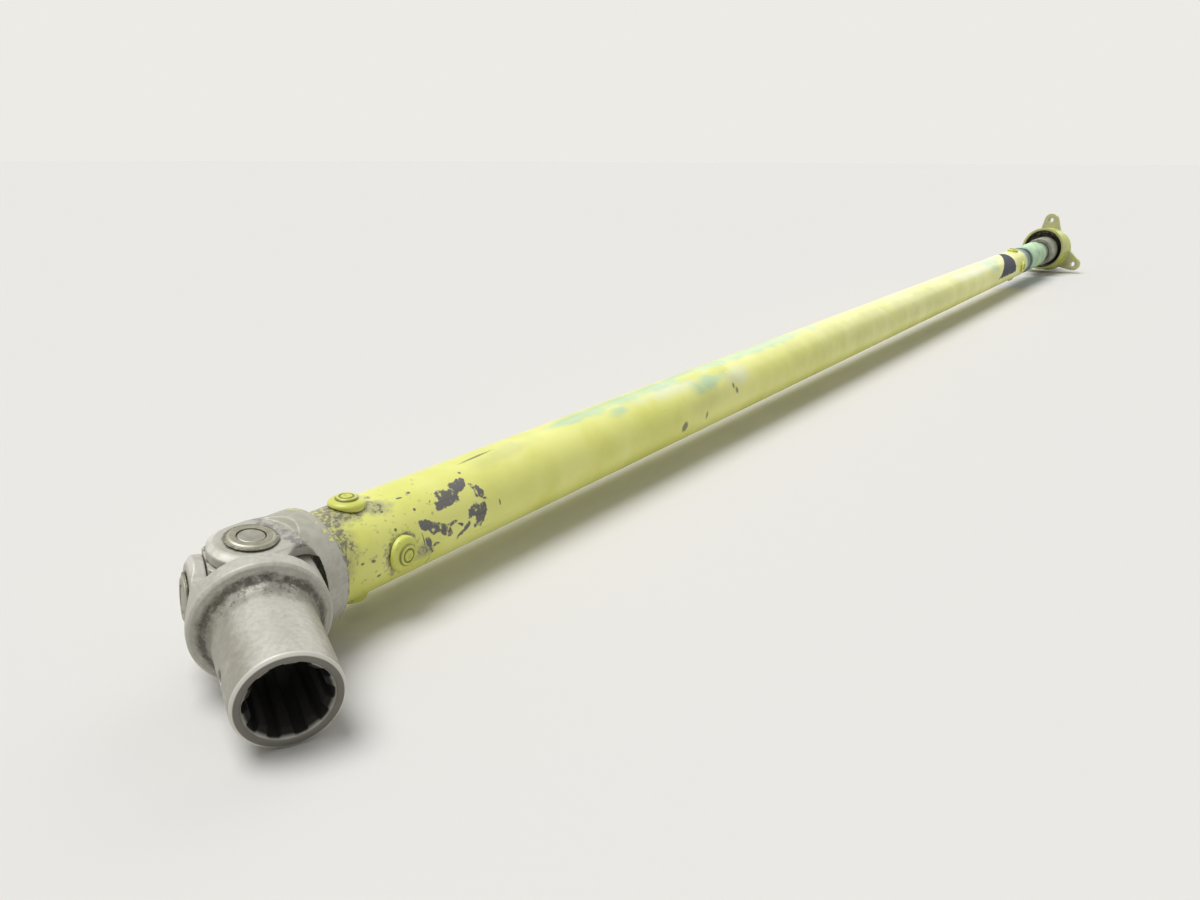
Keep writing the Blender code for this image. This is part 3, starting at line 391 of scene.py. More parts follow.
def marks(ragged, places):
    """Oval marks on the tube's skin as one mask, their edges broken by noise."""
    mask = 0.0
    for from_end, angle, half_length, half_width, edge, turn in places:
        oval = node(paint.tree, "Mapping", {"vector_type": "TEXTURE"}, {
            "Vector": tube_skin,
            "Location": (tube_low.x + from_end * MM, TUBE_RADIUS * math.radians(angle), 0.0),
            "Rotation": (0.0, 0.0, math.radians(turn)), "Scale": (half_length * MM, half_width * MM, 1.0)})
        distance = node(paint.tree, "VectorMath", {"operation": "LENGTH"}, {0: oval})
        broken = node(paint.tree, "Math", {"operation": "ADD"}, {0: distance, 1: ragged})
        mask = node(paint.tree, "Math", {"operation": "MAXIMUM"},
                    {0: mask, 1: paint.zone(broken, None, 1.0, edge)})
    return mask


broad_rag = paint.ragged(22, 0.75)
fine_rag = paint.ragged(3, 0.42)
for code, strength, rag, places in ((STAIN_PALE, 0.50, broad_rag, PALE_STAINS),
                                    (STAIN_TEAL, 0.62, broad_rag, TEAL_STAINS),
                                    (STAIN_YELLOW, 0.80, paint.ragged(9, 0.5), YELLOW_PATCHES),
                                    (GRIME_GREY, 0.20, broad_rag, HAND_SMUDGES)):
    paint.stain(code, strength, marks(rag, places))

# A navy band close to the far end, sharp on all sides; its left side slants round the tube
navy_rag = paint.ragged(5, 2.5 * MM)
navy_slant = node(paint.tree, "Math", {"operation": "MULTIPLY_ADD"},
                  {0: tube_arc, 1: NAVY_SLANT, 2: tube_parts["X"]})
navy_sides = []
for value, low, high, soft in ((navy_slant, tube_low.x + NAVY_FROM, None, 1.0 * MM),
                               (tube_parts["X"], None, tube_low.x + NAVY_TO, 1.0 * MM),
                               (tube_arc, -3.0 * MM, 28.0 * MM, 0.8 * MM)):
    value = node(paint.tree, "Math", {"operation": "ADD"}, {0: value, 1: navy_rag})
    navy_sides.append(paint.zone(value, low, high, soft))
navy = paint.meet(*navy_sides)
paint.stain(STAIN_NAVY, 0.96, navy)

# Hairline scratches along the tube; a scratch is 0.2 mm wide and is drawn at 0.6 mm
scratch_place = node(paint.tree, "Mapping", None, {
    "Vector": tube_skin, "Rotation": (0.0, 0.0, math.radians(4.0)), "Scale": (0.03, 1.0, 1.0)})
scratch = node(paint.tree, "TexNoise", None,
               {"Vector": scratch_place, "Scale": pattern_scale(0.9), "Detail": 3.0})
paint.stain(GRIME_GREY, 0.35, paint.zone(scratch, 0.74, None, 0.04))
# Specks of dirt, many by the fork and few farther along
near_end = node(paint.tree, "MapRange", {"interpolation_type": "SMOOTHSTEP"}, {
    "Value": tube_parts["X"], "From Min": tube_low.x, "From Max": tube_low.x + 110 * MM,
    "To Min": 0.72, "To Max": 0.42})
paint.stain(GRIME_GREY, 0.6, paint.specks(2.6, 0.5, near_end))
# Dirt at the tube's end; round the washers, dirt together with painted shade where they sit on the tube
end_film = marks(fine_rag, END_DIRT)
washer_dirt_and_shade = marks(fine_rag, WASHER_DIRT_AND_SHADE)
paint.stain(GRIME_FILM, 0.45, end_film)
paint.stain(GRIME_GREY, 0.60, washer_dirt_and_shade)
paint.stain(GRIME_BROWN, 0.85, paint.specks(1.3, 0.55, end_film))
paint.stain(GRIME_DARK, 0.7, paint.specks(1.6, 0.45, washer_dirt_and_shade))
# Patches rubbed through to grey metal, with islands of paint and brown streaks
spared = node(paint.tree, "Math", {"operation": "SUBTRACT"}, {0: 1.0, 1: paint.specks(3.4, 0.5, 0.75)})
lost = paint.meet(marks(paint.ragged(4.5, 0.85), LOST_PRIMER), spared)
paint.stain(BARE_GREY, 1.0, lost)
paint.stain(BARE_BROWN, 0.7, paint.specks(1.6, 0.30, lost, 0.9, place=scratch_place))
paint.stain(GRIME_DARK, 0.85, marks(paint.ragged(1.6, 0.22), DARK_SPECKS))
# Stained and bare places have lost the shine of the paint
dull = node(paint.tree, "Math", {"operation": "MAXIMUM"}, {0: navy, 1: lost})
shine = paint.shader.inputs["Roughness"].links[0].from_socket
paint.feed("Roughness", node(paint.tree, "Mix", {"data_type": "FLOAT"}, {
    "Factor": dull, "A": shine, "B": BARE_ROUGHNESS}))
seat(tube, paint, "rod", "tube_paint", "torque_tube")

# Tube yoke
# The steel fork at the tube's near end, forged, machined and cadmium plated. A collar stops it
# against the tube and its shank is riveted inside. Its two ears carry the long pin.
EAR_HEIGHT = 16.6 * MM
EAR_RADIUS = 11.8 * MM
SLOT_HALF_WIDTH = 12.3 * MM
FORK_RADIUS = 19.1 * MM
WAIST_HALF_WIDTH = 9.6 * MM
WAIST_FILLET = 4.0 * MM
DISH_RADIUS = 22.0 * MM
PIN_HOLE_RADIUS = 5.9 * MM
COLLAR_BACK = 20.6 * MM
COLLAR_RADIUS = 18.3 * MM
CONE_START = 6.0 * MM
COLLAR_NECK = 12.0 * MM
SHANK_RADIUS = 12.7 * MM
SHANK_LENGTH = 36.0 * MM
EDGE_ROUND = 0.9 * MM
YOKE_VOXEL = 0.27 * MM
PLATE_LIGHT = "#bfbdb3"
PLATE_DULL = "#afada2"
PLATE_OLIVE = "#94927c"
PLATE_BRIGHT = "#d9d7ce"
EAR_FACE = "#b3b2a6"
EAR_GRIME = "#625e54"
COLLAR_GRIME = "#6b685d"
GRIME_PURPLE = "#6f6a6b"
GREASE_DARK = "#4a443a"
ALONG_Z = Matrix.Rotation(-math.pi / 2, 4, "Y")
ALONG_Y = Matrix.Rotation(math.pi / 2, 4, "Z")

joint_by_name = {joint["name"]: joint for joint in frame["joints"]}
joint_centre = Vector(joint_by_name["fork_hinge"]["pos_m"])
long_pin_axis = Vector(joint_by_name["fork_hinge"]["axis"]).normalized()
short_pin_axis = Vector(joint_by_name["cross_hinge"]["axis"]).normalized()


def frame_at(along_x, along_z):
    """A place at the joint's centre with its own X and Z directions."""
    turn = Matrix((along_x, along_z.cross(along_x), along_z)).transposed().to_4x4()
    return Matrix.Translation(joint_centre) @ turn


tube_fork_place = frame_at(Vector((1.0, 0.0, 0.0)), long_pin_axis)
splined_fork_place = frame_at(long_pin_axis.cross(short_pin_axis).normalized(), short_pin_axis)
cross_place = frame_at(short_pin_axis.cross(long_pin_axis).normalized(), long_pin_axis)


def arc(centre_x, centre_y, radius, start, end, steps):
    """Points on an arc, both ends included."""
    angles = [start + (end - start) * step / steps for step in range(steps + 1)]
    return [(centre_x + radius * math.cos(angle), centre_y + radius * math.sin(angle)) for angle in angles]


def tool_bar(name, outline, low, high, turn=Matrix.Identity(4)):
    """A straight cutter: outline points are (x, y), drawn out along Z and then turned."""
    return loft(name, [[turn @ Vector((x, y, height)) for x, y in outline] for height in (low, high)])


def ear_outline(base):
    """A fork seen along its pin: a round ear, a filleted waist and the wide base."""
    middle_y = WAIST_HALF_WIDTH + WAIST_FILLET
    middle_x = math.sqrt((EAR_RADIUS + WAIST_FILLET) ** 2 - middle_y ** 2)
    meet = math.atan2(middle_y, middle_x)
    shoulder = middle_x + WAIST_FILLET
    half = FORK_RADIUS + EDGE_ROUND
    points = arc(0.0, 0.0, EAR_RADIUS, meet, 2 * math.pi - meet, 64)
    points += arc(middle_x, -middle_y, WAIST_FILLET, math.pi - meet, 0.0, 16)[1:]
    points += [(shoulder, -half), (base, -half), (base, half), (shoulder, half)]
    return points + arc(middle_x, middle_y, WAIST_FILLET, 0.0, meet - math.pi, 16)[:-1]


def fork_tools(base):
    """What a fork's blank keeps, its outline, and what it loses: its slot, spot faces and pin holes."""
    reach = 2 * FORK_RADIUS
    levels = []
    for step in range(25):
        height = SLOT_HALF_WIDTH * (step / 12 - 1)
        dish = math.sqrt(DISH_RADIUS ** 2 - height ** 2)
        outline = arc(0.0, 0.0, dish, -math.pi / 2, math.pi / 2, 64) + [(-reach, dish), (-reach, -dish)]
        levels.append([(x, y, height) for x, y in outline])
    removed = [loft("slot", levels)]
    spot = [(EAR_HEIGHT, EAR_RADIUS + 0.3 * MM), (EAR_HEIGHT + EAR_RADIUS, 2 * EAR_RADIUS)]
    for side in (0.0, math.pi):
        removed.append(turned("spot_face", spot, 96, place=Matrix.Rotation(side, 4, "X") @ ALONG_Z))
    removed.append(turned("pin_hole", [(-reach, PIN_HOLE_RADIUS), (reach, PIN_HOLE_RADIUS)], 72,
                          place=ALONG_Z))
    return tool_bar("fork_outline", ear_outline(base), -reach, reach), removed


def ball_nose():
    """The rounded nose of a fork's blank, from the tip of its ears to its full radius."""
    start = math.acos(-(EAR_RADIUS + EDGE_ROUND) / FORK_RADIUS)
    return arc(0.0, 0.0, FORK_RADIUS, start, math.pi / 2, 24)


def cut_and_wear(blank, voxel, passes, removed, kept=None, joined=None):
    """Cut a blank with its tools, then round its edges a little, as plating and wear do."""
    tools = [(kept, "INTERSECT"), (joined, "UNION")] + [(tool, "DIFFERENCE") for tool in removed]
    tools = [(tool, operation) for tool, operation in tools if tool]
    for tool, operation in tools:
        cut = blank.modifiers.new(tool.name, "BOOLEAN")
        cut.operation = operation
        cut.solver = "EXACT"
        cut.object = tool
    skin = blank.modifiers.new("skin", "REMESH")
    skin.mode = "VOXEL"
    skin.voxel_size = voxel
    skin.use_smooth_shade = True
    wear = blank.modifiers.new("wear", "SMOOTH")
    wear.factor = 0.5
    wear.iterations = passes
    bpy.context.view_layer.update()
    solid = blank.evaluated_get(bpy.context.evaluated_depsgraph_get())
    mesh = bpy.data.meshes.new_from_object(solid)
    mesh.name = blank.name
    blank.modifiers.clear()
    blank.data = mesh
    mesh.shade_smooth()
    for tool, operation in tools:
        bpy.data.objects.remove(tool, do_unlink=True)


def plated_forging(name, at):
    """Cadmium plating on a steel forging: an even satin grey, finely mottled, with a few olive stains."""
    plate = Finish(name, at, metallic=0.22)
    plate.mottle(1.5, 8, [(0.36, PLATE_DULL), (0.62, PLATE_LIGHT)], (0.58, 0.44), 0.62, (0.3, 0.7))
    plate.stain(PLATE_OLIVE, 0.30, plate.specks(12, 0.5, 0.75, edge=0.12))
    plate.stain(GRIME_GREY, 0.5, plate.specks(1.1, 0.5, 0.60))
    # Blast texture under plating is about 0.3 mm; it is drawn at 0.9 mm so that it shows
    plate.roughen(0.9, 4, 0.16, 0.08 * MM)
    return plate


def plated_fork(name, at):
    """The plating of a fork: ears rubbed bright at their edges, dull on their faces, grimy round the bush.

    Also gives a point's coordinates and its height along the pin.
    """
    plate = plated_forging(name, at)
    parts = node(plate.tree, "SeparateXYZ", None, {"Vector": plate.place}).outputs
    height = node(plate.tree, "Math", {"operation": "ABSOLUTE"}, {0: parts["Z"]})
    from_pin = plate.distance(parts["X"], parts["Y"])
    face = plate.zone(height, EAR_HEIGHT - 0.35 * MM, None, 0.2 * MM)
    plate.stain(EAR_FACE, 0.60, face)
    plate.stain(PLATE_BRIGHT, 0.75, plate.zone(from_pin, EAR_RADIUS - 2.0 * MM, None, 0.4 * MM),
                plate.zone(height, EAR_HEIGHT - 1.6 * MM, EAR_HEIGHT - 0.3 * MM, 0.3 * MM),
                plate.zone(parts["X"], None, 4.0 * MM, 2.0 * MM))
    ring = plate.zone(from_pin, 6.6 * MM, 8.0 * MM, 0.5 * MM)
    plate.stain(EAR_GRIME, 0.65, plate.specks(2, 0.7, ring, face, edge=0.10))
    return plate, parts, height


shank_end = COLLAR_BACK + SHANK_LENGTH
yoke_outline = soften([(CONE_START - EDGE_ROUND, FORK_RADIUS), (CONE_START, FORK_RADIUS),
                       (COLLAR_NECK, COLLAR_RADIUS),
                       (COLLAR_BACK, COLLAR_RADIUS), (COLLAR_BACK, SHANK_RADIUS), (shank_end, SHANK_RADIUS)],
                      EDGE_ROUND)
tube_yoke = turned("forged_tube_fork", ball_nose() + yoke_outline, 160)
fork_kept, fork_removed = fork_tools(shank_end + FORK_RADIUS)
cut_and_wear(tube_yoke, YOKE_VOXEL, 3, fork_removed, kept=fork_kept)
tube_yoke.data.transform(tube_fork_place)

# Grime beside the bush, olive film on the ear's tip and on top of the collar, primer at its edge
fork_plate, fork_parts, fork_height = plated_fork("cadmium_plated_tube_fork", tube_fork_place)
fork_along = fork_parts["X"]
fork_face = fork_plate.zone(fork_height, EAR_HEIGHT - 2.0 * MM, None, 0.8 * MM)
beside_bush = fork_plate.zone(fork_along, 5.6 * MM, 12.0 * MM, 2.0 * MM)
fork_plate.stain(GRIME_PURPLE, 0.75, fork_plate.specks(1.8, 0.6, beside_bush, fork_face, edge=0.12))
ear_tip = fork_plate.zone(fork_along, None, -7.0 * MM, 2.0 * MM)
fork_plate.stain(PLATE_OLIVE, 0.5, fork_plate.specks(3, 0.6, ear_tip, fork_face, edge=0.14))
collar_top = fork_plate.meet(fork_plate.zone(fork_along, 10.0 * MM, None, 2.0 * MM),
                             fork_plate.zone(fork_parts["Z"], 12.0 * MM, None, 3.0 * MM))
fork_plate.stain(PLATE_OLIVE, 0.55, fork_plate.specks(3, 0.6, collar_top, edge=0.14))
collar_edge = fork_plate.zone(fork_along, 19.3 * MM, None, 0.7 * MM)
fork_plate.stain(COLLAR_GRIME, 0.7, fork_plate.specks(1.6, 0.5, collar_edge, edge=0.10))
overspray = fork_plate.zone(fork_along, 17.6 * MM, 20.0 * MM, 0.8 * MM)
fork_plate.stain(PRIMER_DEEP, 0.8, fork_plate.specks(3, 0.35, overspray, collar_top))
seat(tube_yoke, fork_plate, "rod", "plated_forging", "tube_yoke", crisp=False)

# Cross block and its pins
# A steel block between the forks. One long pin goes right through it, two short pins meet it
# crosswise, and a thin rivet through the block locks each short pin.
BLOCK_HALF_DEPTH = 8.6 * MM
BLOCK_HALF_WIDTH = 12.0 * MM
BLOCK_CHAMFER = 2.4 * MM
BLOCK_VOXEL = 0.4 * MM
PIN_RADIUS = 4.0 * MM
PIN_CHAMFER = 0.5 * MM
PIN_HALF_LENGTH = 17.8 * MM
FIT_GAP = 0.3 * MM
LOCK_RIVET_RADIUS = 1.2 * MM
LOCK_RIVET_CHAMFER = 0.3 * MM
PIN_GREY = "#a3a297"
PIN_DULL = "#8d8c7f"

half = BLOCK_HALF_WIDTH
deep = BLOCK_HALF_DEPTH
block_outline = [(-deep, BLOCK_CHAMFER - half), (BLOCK_CHAMFER - deep, -half), (deep - BLOCK_CHAMFER, -half),
                 (deep, BLOCK_CHAMFER - half), (deep, half - BLOCK_CHAMFER), (deep - BLOCK_CHAMFER, half),
                 (BLOCK_CHAMFER - deep, half), (-deep, half - BLOCK_CHAMFER)]
block = tool_bar("cross_block_body", block_outline, -half, half)
bore = [(-2 * half, PIN_RADIUS + FIT_GAP), (2 * half, PIN_RADIUS + FIT_GAP)]
thin_bore = [(-2 * half, LOCK_RIVET_RADIUS + FIT_GAP), (2 * half, LOCK_RIVET_RADIUS + FIT_GAP)]
block_bores = [turned("long_bore", bore, 72, place=ALONG_Z), turned("short_bore", bore, 72, place=ALONG_Y)]
rivet_shift = (half + PIN_RADIUS + FIT_GAP) / 2
for shift in (-rivet_shift, rivet_shift):
    block_bores.append(turned("rivet_bore", thin_bore, 36, place=Matrix.Translation((0.0, shift, 0.0))))
cut_and_wear(block, BLOCK_VOXEL, 2, block_bores)
block.data.transform(cross_place)
# Plated like the forks, under a film of dark oil
block_plate = plated_forging("oiled_plated_block", cross_place)
block_plate.stain(GREASE_DARK, 0.7, block_plate.specks(4, 0.6, 0.9))
seat(block, block_plate, "cross", "plated_forging", "cross_block", crisp=False)

# Ground steel: soft grey shine with dull clouds
pin_steel = Finish("ground_steel_pin", metallic=0.8)
pin_steel.mottle(3, 6, [(0.35, PIN_DULL), (0.65, PIN_GREY)], (0.35, 0.6))


def make_pin(name, start, end, radius, chamfer, place, node_name):
    """One solid pin with a chamfer at each end, in its place on the cross."""
    outline = [(start, 0.0), (start, radius - chamfer), (start + chamfer, radius), (end - chamfer, radius),
               (end, radius - chamfer), (end, 0.0)]
    seat(turned(name, soften(outline, 0.25 * MM), 72, place=place), pin_steel, "cross", "pin_steel",
         node_name)


make_pin("pivot_pin_long", -PIN_HALF_LENGTH, PIN_HALF_LENGTH, PIN_RADIUS, PIN_CHAMFER,
         cross_place @ ALONG_Z, "long_pin")
for label, flip in (("a", 0.0), ("b", math.pi)):
    turn = cross_place @ Matrix.Rotation(flip, 4, "Z")
    make_pin("pivot_pin_short_" + label, PIN_RADIUS + FIT_GAP, PIN_HALF_LENGTH, PIN_RADIUS, PIN_CHAMFER,
             turn @ ALONG_Y, "short_pin_" + label)
    make_pin("lock_rivet_" + label, -deep, deep, LOCK_RIVET_RADIUS, LOCK_RIVET_CHAMFER,
             turn @ Matrix.Translation((0.0, rivet_shift, 0.0)), "pin_lock_rivet_" + label)

# Bushes
# Flanged bronze bushes pressed into the four ears, their flanges outside. Each flange is a thin
# plate with a raised, bevelled collar, and the bore closes on the pin.
BUSH_RADIUS = 5.6 * MM
BUSH_BORE = 4.08 * MM
BUSH_FLANGE_RADIUS = 7.4 * MM
BUSH_FLANGE_HEIGHT = 1.0 * MM
BUSH_PLATE_HEIGHT = 0.4 * MM
BUSH_BEVEL = 0.35 * MM
BUSH_COLLAR_FOOT = 6.5 * MM
BUSH_COLLAR_SIDE = 6.4 * MM
BUSH_COLLAR_TOP = 5.8 * MM
BUSH_GREY = "#9b9a8a"
BUSH_OLIVE = "#878570"
BUSH_BRIGHT_WEAR_AND_HIGHLIGHT = "#b7b5a8"
BUSH_GRIME = "#5d594f"

flange_start = EAR_HEIGHT + FIT_GAP
plate_top = flange_start + BUSH_PLATE_HEIGHT
flange_end = flange_start + BUSH_FLANGE_HEIGHT
bush_outline = [(SLOT_HALF_WIDTH, BUSH_BORE), (SLOT_HALF_WIDTH, BUSH_RADIUS), (flange_start, BUSH_RADIUS),
                (flange_start, BUSH_FLANGE_RADIUS), (plate_top, BUSH_FLANGE_RADIUS),
                (plate_top, BUSH_COLLAR_FOOT),
                (flange_end - BUSH_BEVEL, BUSH_COLLAR_SIDE), (flange_end, BUSH_COLLAR_TOP),
                (flange_end, BUSH_BORE)]
for fork, place, body in (("tube_yoke", tube_fork_place, "rod"),
                          ("splined_yoke", splined_fork_place, "splined_end")):
    # Plated like the forks, dulled olive by oil, its bevel lighter as wear and as a painted highlight, and
    # its foot dirty
    bronze = Finish("plated_aluminium_bronze_bush_" + fork, place, metallic=0.6)
    bronze.mottle(2.2, 7, [(0.36, BUSH_OLIVE), (0.62, BUSH_GREY)], (0.55, 0.38))
    bush_parts = node(bronze.tree, "SeparateXYZ", None, {"Vector": bronze.place}).outputs
    from_pin = bronze.distance(bush_parts["X"], bush_parts["Y"])
    bronze.stain(BUSH_BRIGHT_WEAR_AND_HIGHLIGHT, 0.55, bronze.zone(from_pin, 5.85 * MM, 6.5 * MM, 0.1 * MM))
    bronze.stain(BUSH_GRIME, 0.7, bronze.specks(1.8, 0.6, bronze.zone(from_pin, 6.6 * MM, None, 0.1 * MM)))
    for label, flip in (("a", 0.0), ("b", math.pi)):
        bush = turned(f"{fork}_flanged_bush_{label}", soften(bush_outline, 0.12 * MM, True), 96, True,
                      place @ Matrix.Rotation(flip, 4, "X") @ ALONG_Z)
        seat(bush, bronze, body, "bush_bronze", f"{fork}_bush_{label}")

# Splined yoke
# The second fork of the joint, forged and plated like the first. Its hub is bored for ten
# straight-sided splines and drilled for a locking bolt; dirt has gathered in its fillet.
YOKE_SHOULDER = 18.0 * MM
YOKE_FILLET_LENGTH = 5.0 * MM
RIM_LAND = 0.8 * MM
HUB_RADIUS = 14.0 * MM
HUB_END = 51.5 * MM
HUB_CHAMFER = 0.8 * MM
BORE_CHAMFER = 0.6 * MM
LOCK_HOLE_RADIUS = 2.2 * MM
LOCK_HOLE_FROM_END = 13.5 * MM
SPLINE_COUNT = 10
SPLINE_MAJOR = 11.1 * MM
SPLINE_MINOR = 9.3 * MM
SPLINE_WIDTH = 3.4 * MM
FILLET_DIRT = "#77746a"
# Under the hub's rim: dirt and painted shade
RIM_DIRT_AND_SHADE = "#3b372e"
HUB_FILM = "#827f70"
# The hub's end face, darker as painted shade
END_FACE_SHADE = "#66635b"
# Near black in the bore: old grease and painted shade
BORE_GREASE_AND_SHADE = "#080706"


def spline_outline(root, tip, width):
    """Straight-sided teeth round a root circle, with enough points for smooth arcs."""
    points = []
    half_root = math.asin(width / 2 / root)
    half_tip = math.asin(width / 2 / tip)
    pitch = 2 * math.pi / SPLINE_COUNT
    for tooth in range(SPLINE_COUNT):
        middle = tooth * pitch
        points += arc(0.0, 0.0, root, middle - pitch + half_root, middle - half_root, 5)
        points += arc(0.0, 0.0, tip, middle - half_tip, middle + half_tip, 5)
    return points


fillet_depth = FORK_RADIUS - RIM_LAND - HUB_RADIUS
hub_outline = ball_nose() + [(YOKE_SHOULDER - EDGE_ROUND, FORK_RADIUS)]
for cosine, sine in arc(0.0, 0.0, 1.0, 0.0, math.pi / 2, 16):
    hub_outline.append((YOKE_SHOULDER + YOKE_FILLET_LENGTH * (1 - cosine),
                        HUB_RADIUS + fillet_depth * (1 - sine)))
hub_outline += [(HUB_END - HUB_CHAMFER, HUB_RADIUS), (HUB_END, HUB_RADIUS - HUB_CHAMFER)]
splined_yoke = turned("forged_splined_fork", hub_outline, 160)
past_end = HUB_END + EAR_RADIUS
mouth = SPLINE_MAJOR + BORE_CHAMFER
hub_kept, hub_removed = fork_tools(HUB_END + FORK_RADIUS)
hub_removed += [
    tool_bar("spline_broach", spline_outline(SPLINE_MINOR, SPLINE_MAJOR, SPLINE_WIDTH), EAR_RADIUS, past_end,
             Matrix.Rotation(math.pi / 2, 4, "Y")),
    turned("mouth_countersink",
           [(HUB_END - mouth + SPLINE_MINOR, SPLINE_MINOR), (HUB_END, mouth), (past_end, mouth)], 120),
    turned("lock_drill", [(0.0, LOCK_HOLE_RADIUS), (2 * HUB_RADIUS, LOCK_HOLE_RADIUS)], 48,
           place=Matrix.Translation((HUB_END - LOCK_HOLE_FROM_END, 0.0, 0.0)) @ ALONG_Z)]
cut_and_wear(splined_yoke, YOKE_VOXEL, 3, hub_removed, kept=hub_kept)
splined_yoke.data.transform(splined_fork_place)

hub_plate, hub_parts, hub_height = plated_fork("cadmium_plated_splined_hub", splined_fork_place)
hub_along = hub_parts["X"]
from_axis = hub_plate.distance(hub_parts["Y"], hub_parts["Z"])
# Dirt packed into the fillet, thinning out along the hub, and an olive film on its sides
past_rim = hub_plate.zone(hub_along, 18.2 * MM, None, 0.5 * MM)
thinning = node(hub_plate.tree, "MapRange", {"interpolation_type": "SMOOTHSTEP"}, {
    "Value": hub_along, "From Min": 18.5 * MM, "From Max": 33.0 * MM, "To Min": 1.0, "To Max": 0.25})
hub_plate.stain(FILLET_DIRT, 0.75, hub_plate.specks(5, 0.85, past_rim, thinning, edge=0.14))
hub_plate.stain(GREASE_DARK, 0.75, hub_plate.specks(1.5, 0.42, past_rim, thinning, edge=0.08))
hub_side = hub_plate.zone(hub_height, 7.5 * MM, None, 4.0 * MM)
hub_plate.stain(HUB_FILM, 0.60, hub_plate.specks(7, 0.9, hub_side, past_rim, edge=0.20))
# Under the rim, darker: dirt together with painted shade in the crease
under_rim = hub_plate.zone(hub_along, 18.4 * MM, 20.4 * MM, 0.7 * MM)
hub_plate.stain(RIM_DIRT_AND_SHADE, 0.75, hub_plate.specks(2.4, 0.75, under_rim, edge=0.12))
# The end face is painted darker as shade, its outer chamfer painted bright as a highlight, and the bore near
# black as old grease and painted shade deep in the socket
hub_plate.stain(END_FACE_SHADE, 0.85, hub_plate.zone(hub_along, HUB_END - 0.35 * MM, None, 0.12 * MM),
                hub_plate.zone(from_axis, None, HUB_RADIUS - HUB_CHAMFER, 0.15 * MM))
# Painted highlight on the outer chamfer
hub_plate.stain(PLATE_BRIGHT, 0.85, hub_plate.zone(hub_along, HUB_END - 1.0 * MM, None, 0.2 * MM),
                hub_plate.zone(from_axis, HUB_RADIUS - HUB_CHAMFER, None, 0.15 * MM))
# The bore: grease and painted shade
in_bore = hub_plate.meet(hub_plate.zone(hub_along, None, HUB_END - 0.9 * MM, 0.5 * MM),
                         hub_plate.zone(from_axis, None, 11.8 * MM, 0.25 * MM),
                         hub_plate.zone(hub_along, DISH_RADIUS, None, 0.4 * MM))
hub_plate.stain(BORE_GREASE_AND_SHADE, 0.98, in_bore)
for socket, outside, inside in (("Metallic", 0.22, 0.0), ("Roughness", 0.50, 0.95)):
    hub_plate.feed(socket, node(hub_plate.tree, "MapRange", None, {
        "Value": in_bore, "To Min": outside, "To Max": inside}))
seat(splined_yoke, hub_plate, "splined_end", "plated_forging", "splined_yoke", crisp=False)

# Rivets and saddle washers
# Two cross rivets hold each end of the tube. Each head is formed over a thick washer hollowed to
# sit on the tube, and all of them were sprayed with the tube, so primer fills their grooves.
RIVET_RADIUS = 2.0 * MM
RIVET_HEAD_RADIUS = 3.6 * MM
RIVET_HEAD_HEIGHT = 0.9 * MM
RIVET_SPACING = 8.6 * MM
RIVET_FROM_END = 15.6 * MM
RIVET_ROLL = math.radians(4.0)
WASHER_RADIUS = 5.8 * MM
WASHER_HEIGHT = 1.76 * MM
WASHER_VOXEL = 0.22 * MM
WASHER_COLOUR = "#e3e670"
WASHER_SHADE = "#c8cc55"
WASHER_PALE = "#f1f0c8"
GROOVE_DIRT_AND_SHADE = "#5e5b3c"

washer_foot = TUBE_RADIUS + FIT_GAP
washer_top = washer_foot + WASHER_HEIGHT
head_foot = washer_top + 0.02 * MM
head_top = head_foot + RIVET_HEAD_HEIGHT
# Primer with grey and pale specks on the washers; the rivets' heads darker in their grooves and round their
# foot, as dirt and painted shade
washer_paint = sprayed_primer("epoxy_primer_on_steel_washer", WASHER_COLOUR, WASHER_SHADE)
washer_paint.stain(GRIME_GREY, 0.7, washer_paint.specks(2.2, 0.4, 0.75))
washer_paint.stain(WASHER_PALE, 0.7, washer_paint.specks(3.1, 0.4, 0.65))
rivet_turn = Matrix.Rotation(RIVET_ROLL, 4, "X")
rivet_paint = sprayed_primer("epoxy_primer_on_rivet_heads", WASHER_COLOUR, WASHER_SHADE, rivet_turn)
rivet_parts = node(rivet_paint.tree, "SeparateXYZ", None, {"Vector": rivet_paint.place}).outputs
rivet_height = 0.0
for part in (rivet_parts["Y"], rivet_parts["Z"]):
    out = node(rivet_paint.tree, "Math", {"operation": "ABSOLUTE"}, {0: part})
    rivet_height = node(rivet_paint.tree, "Math", {"operation": "MAXIMUM"}, {0: rivet_height, 1: out})
rivet_paint.stain(GROOVE_DIRT_AND_SHADE, 0.75, rivet_paint.zone(rivet_height, None, head_top - 0.32 * MM, 0.15 * MM))

washer_outline = [(TUBE_RADIUS - TUBE_WALL, RIVET_RADIUS + FIT_GAP), (TUBE_RADIUS - TUBE_WALL, WASHER_RADIUS),
                  (washer_top - 1.1 * MM, WASHER_RADIUS), (washer_top - 0.5 * MM, WASHER_RADIUS - 0.6 * MM),
                  (washer_top - 0.1 * MM, RIVET_HEAD_RADIUS + 0.5 * MM), (washer_top, RIVET_HEAD_RADIUS),
                  (washer_top, RIVET_RADIUS + FIT_GAP)]
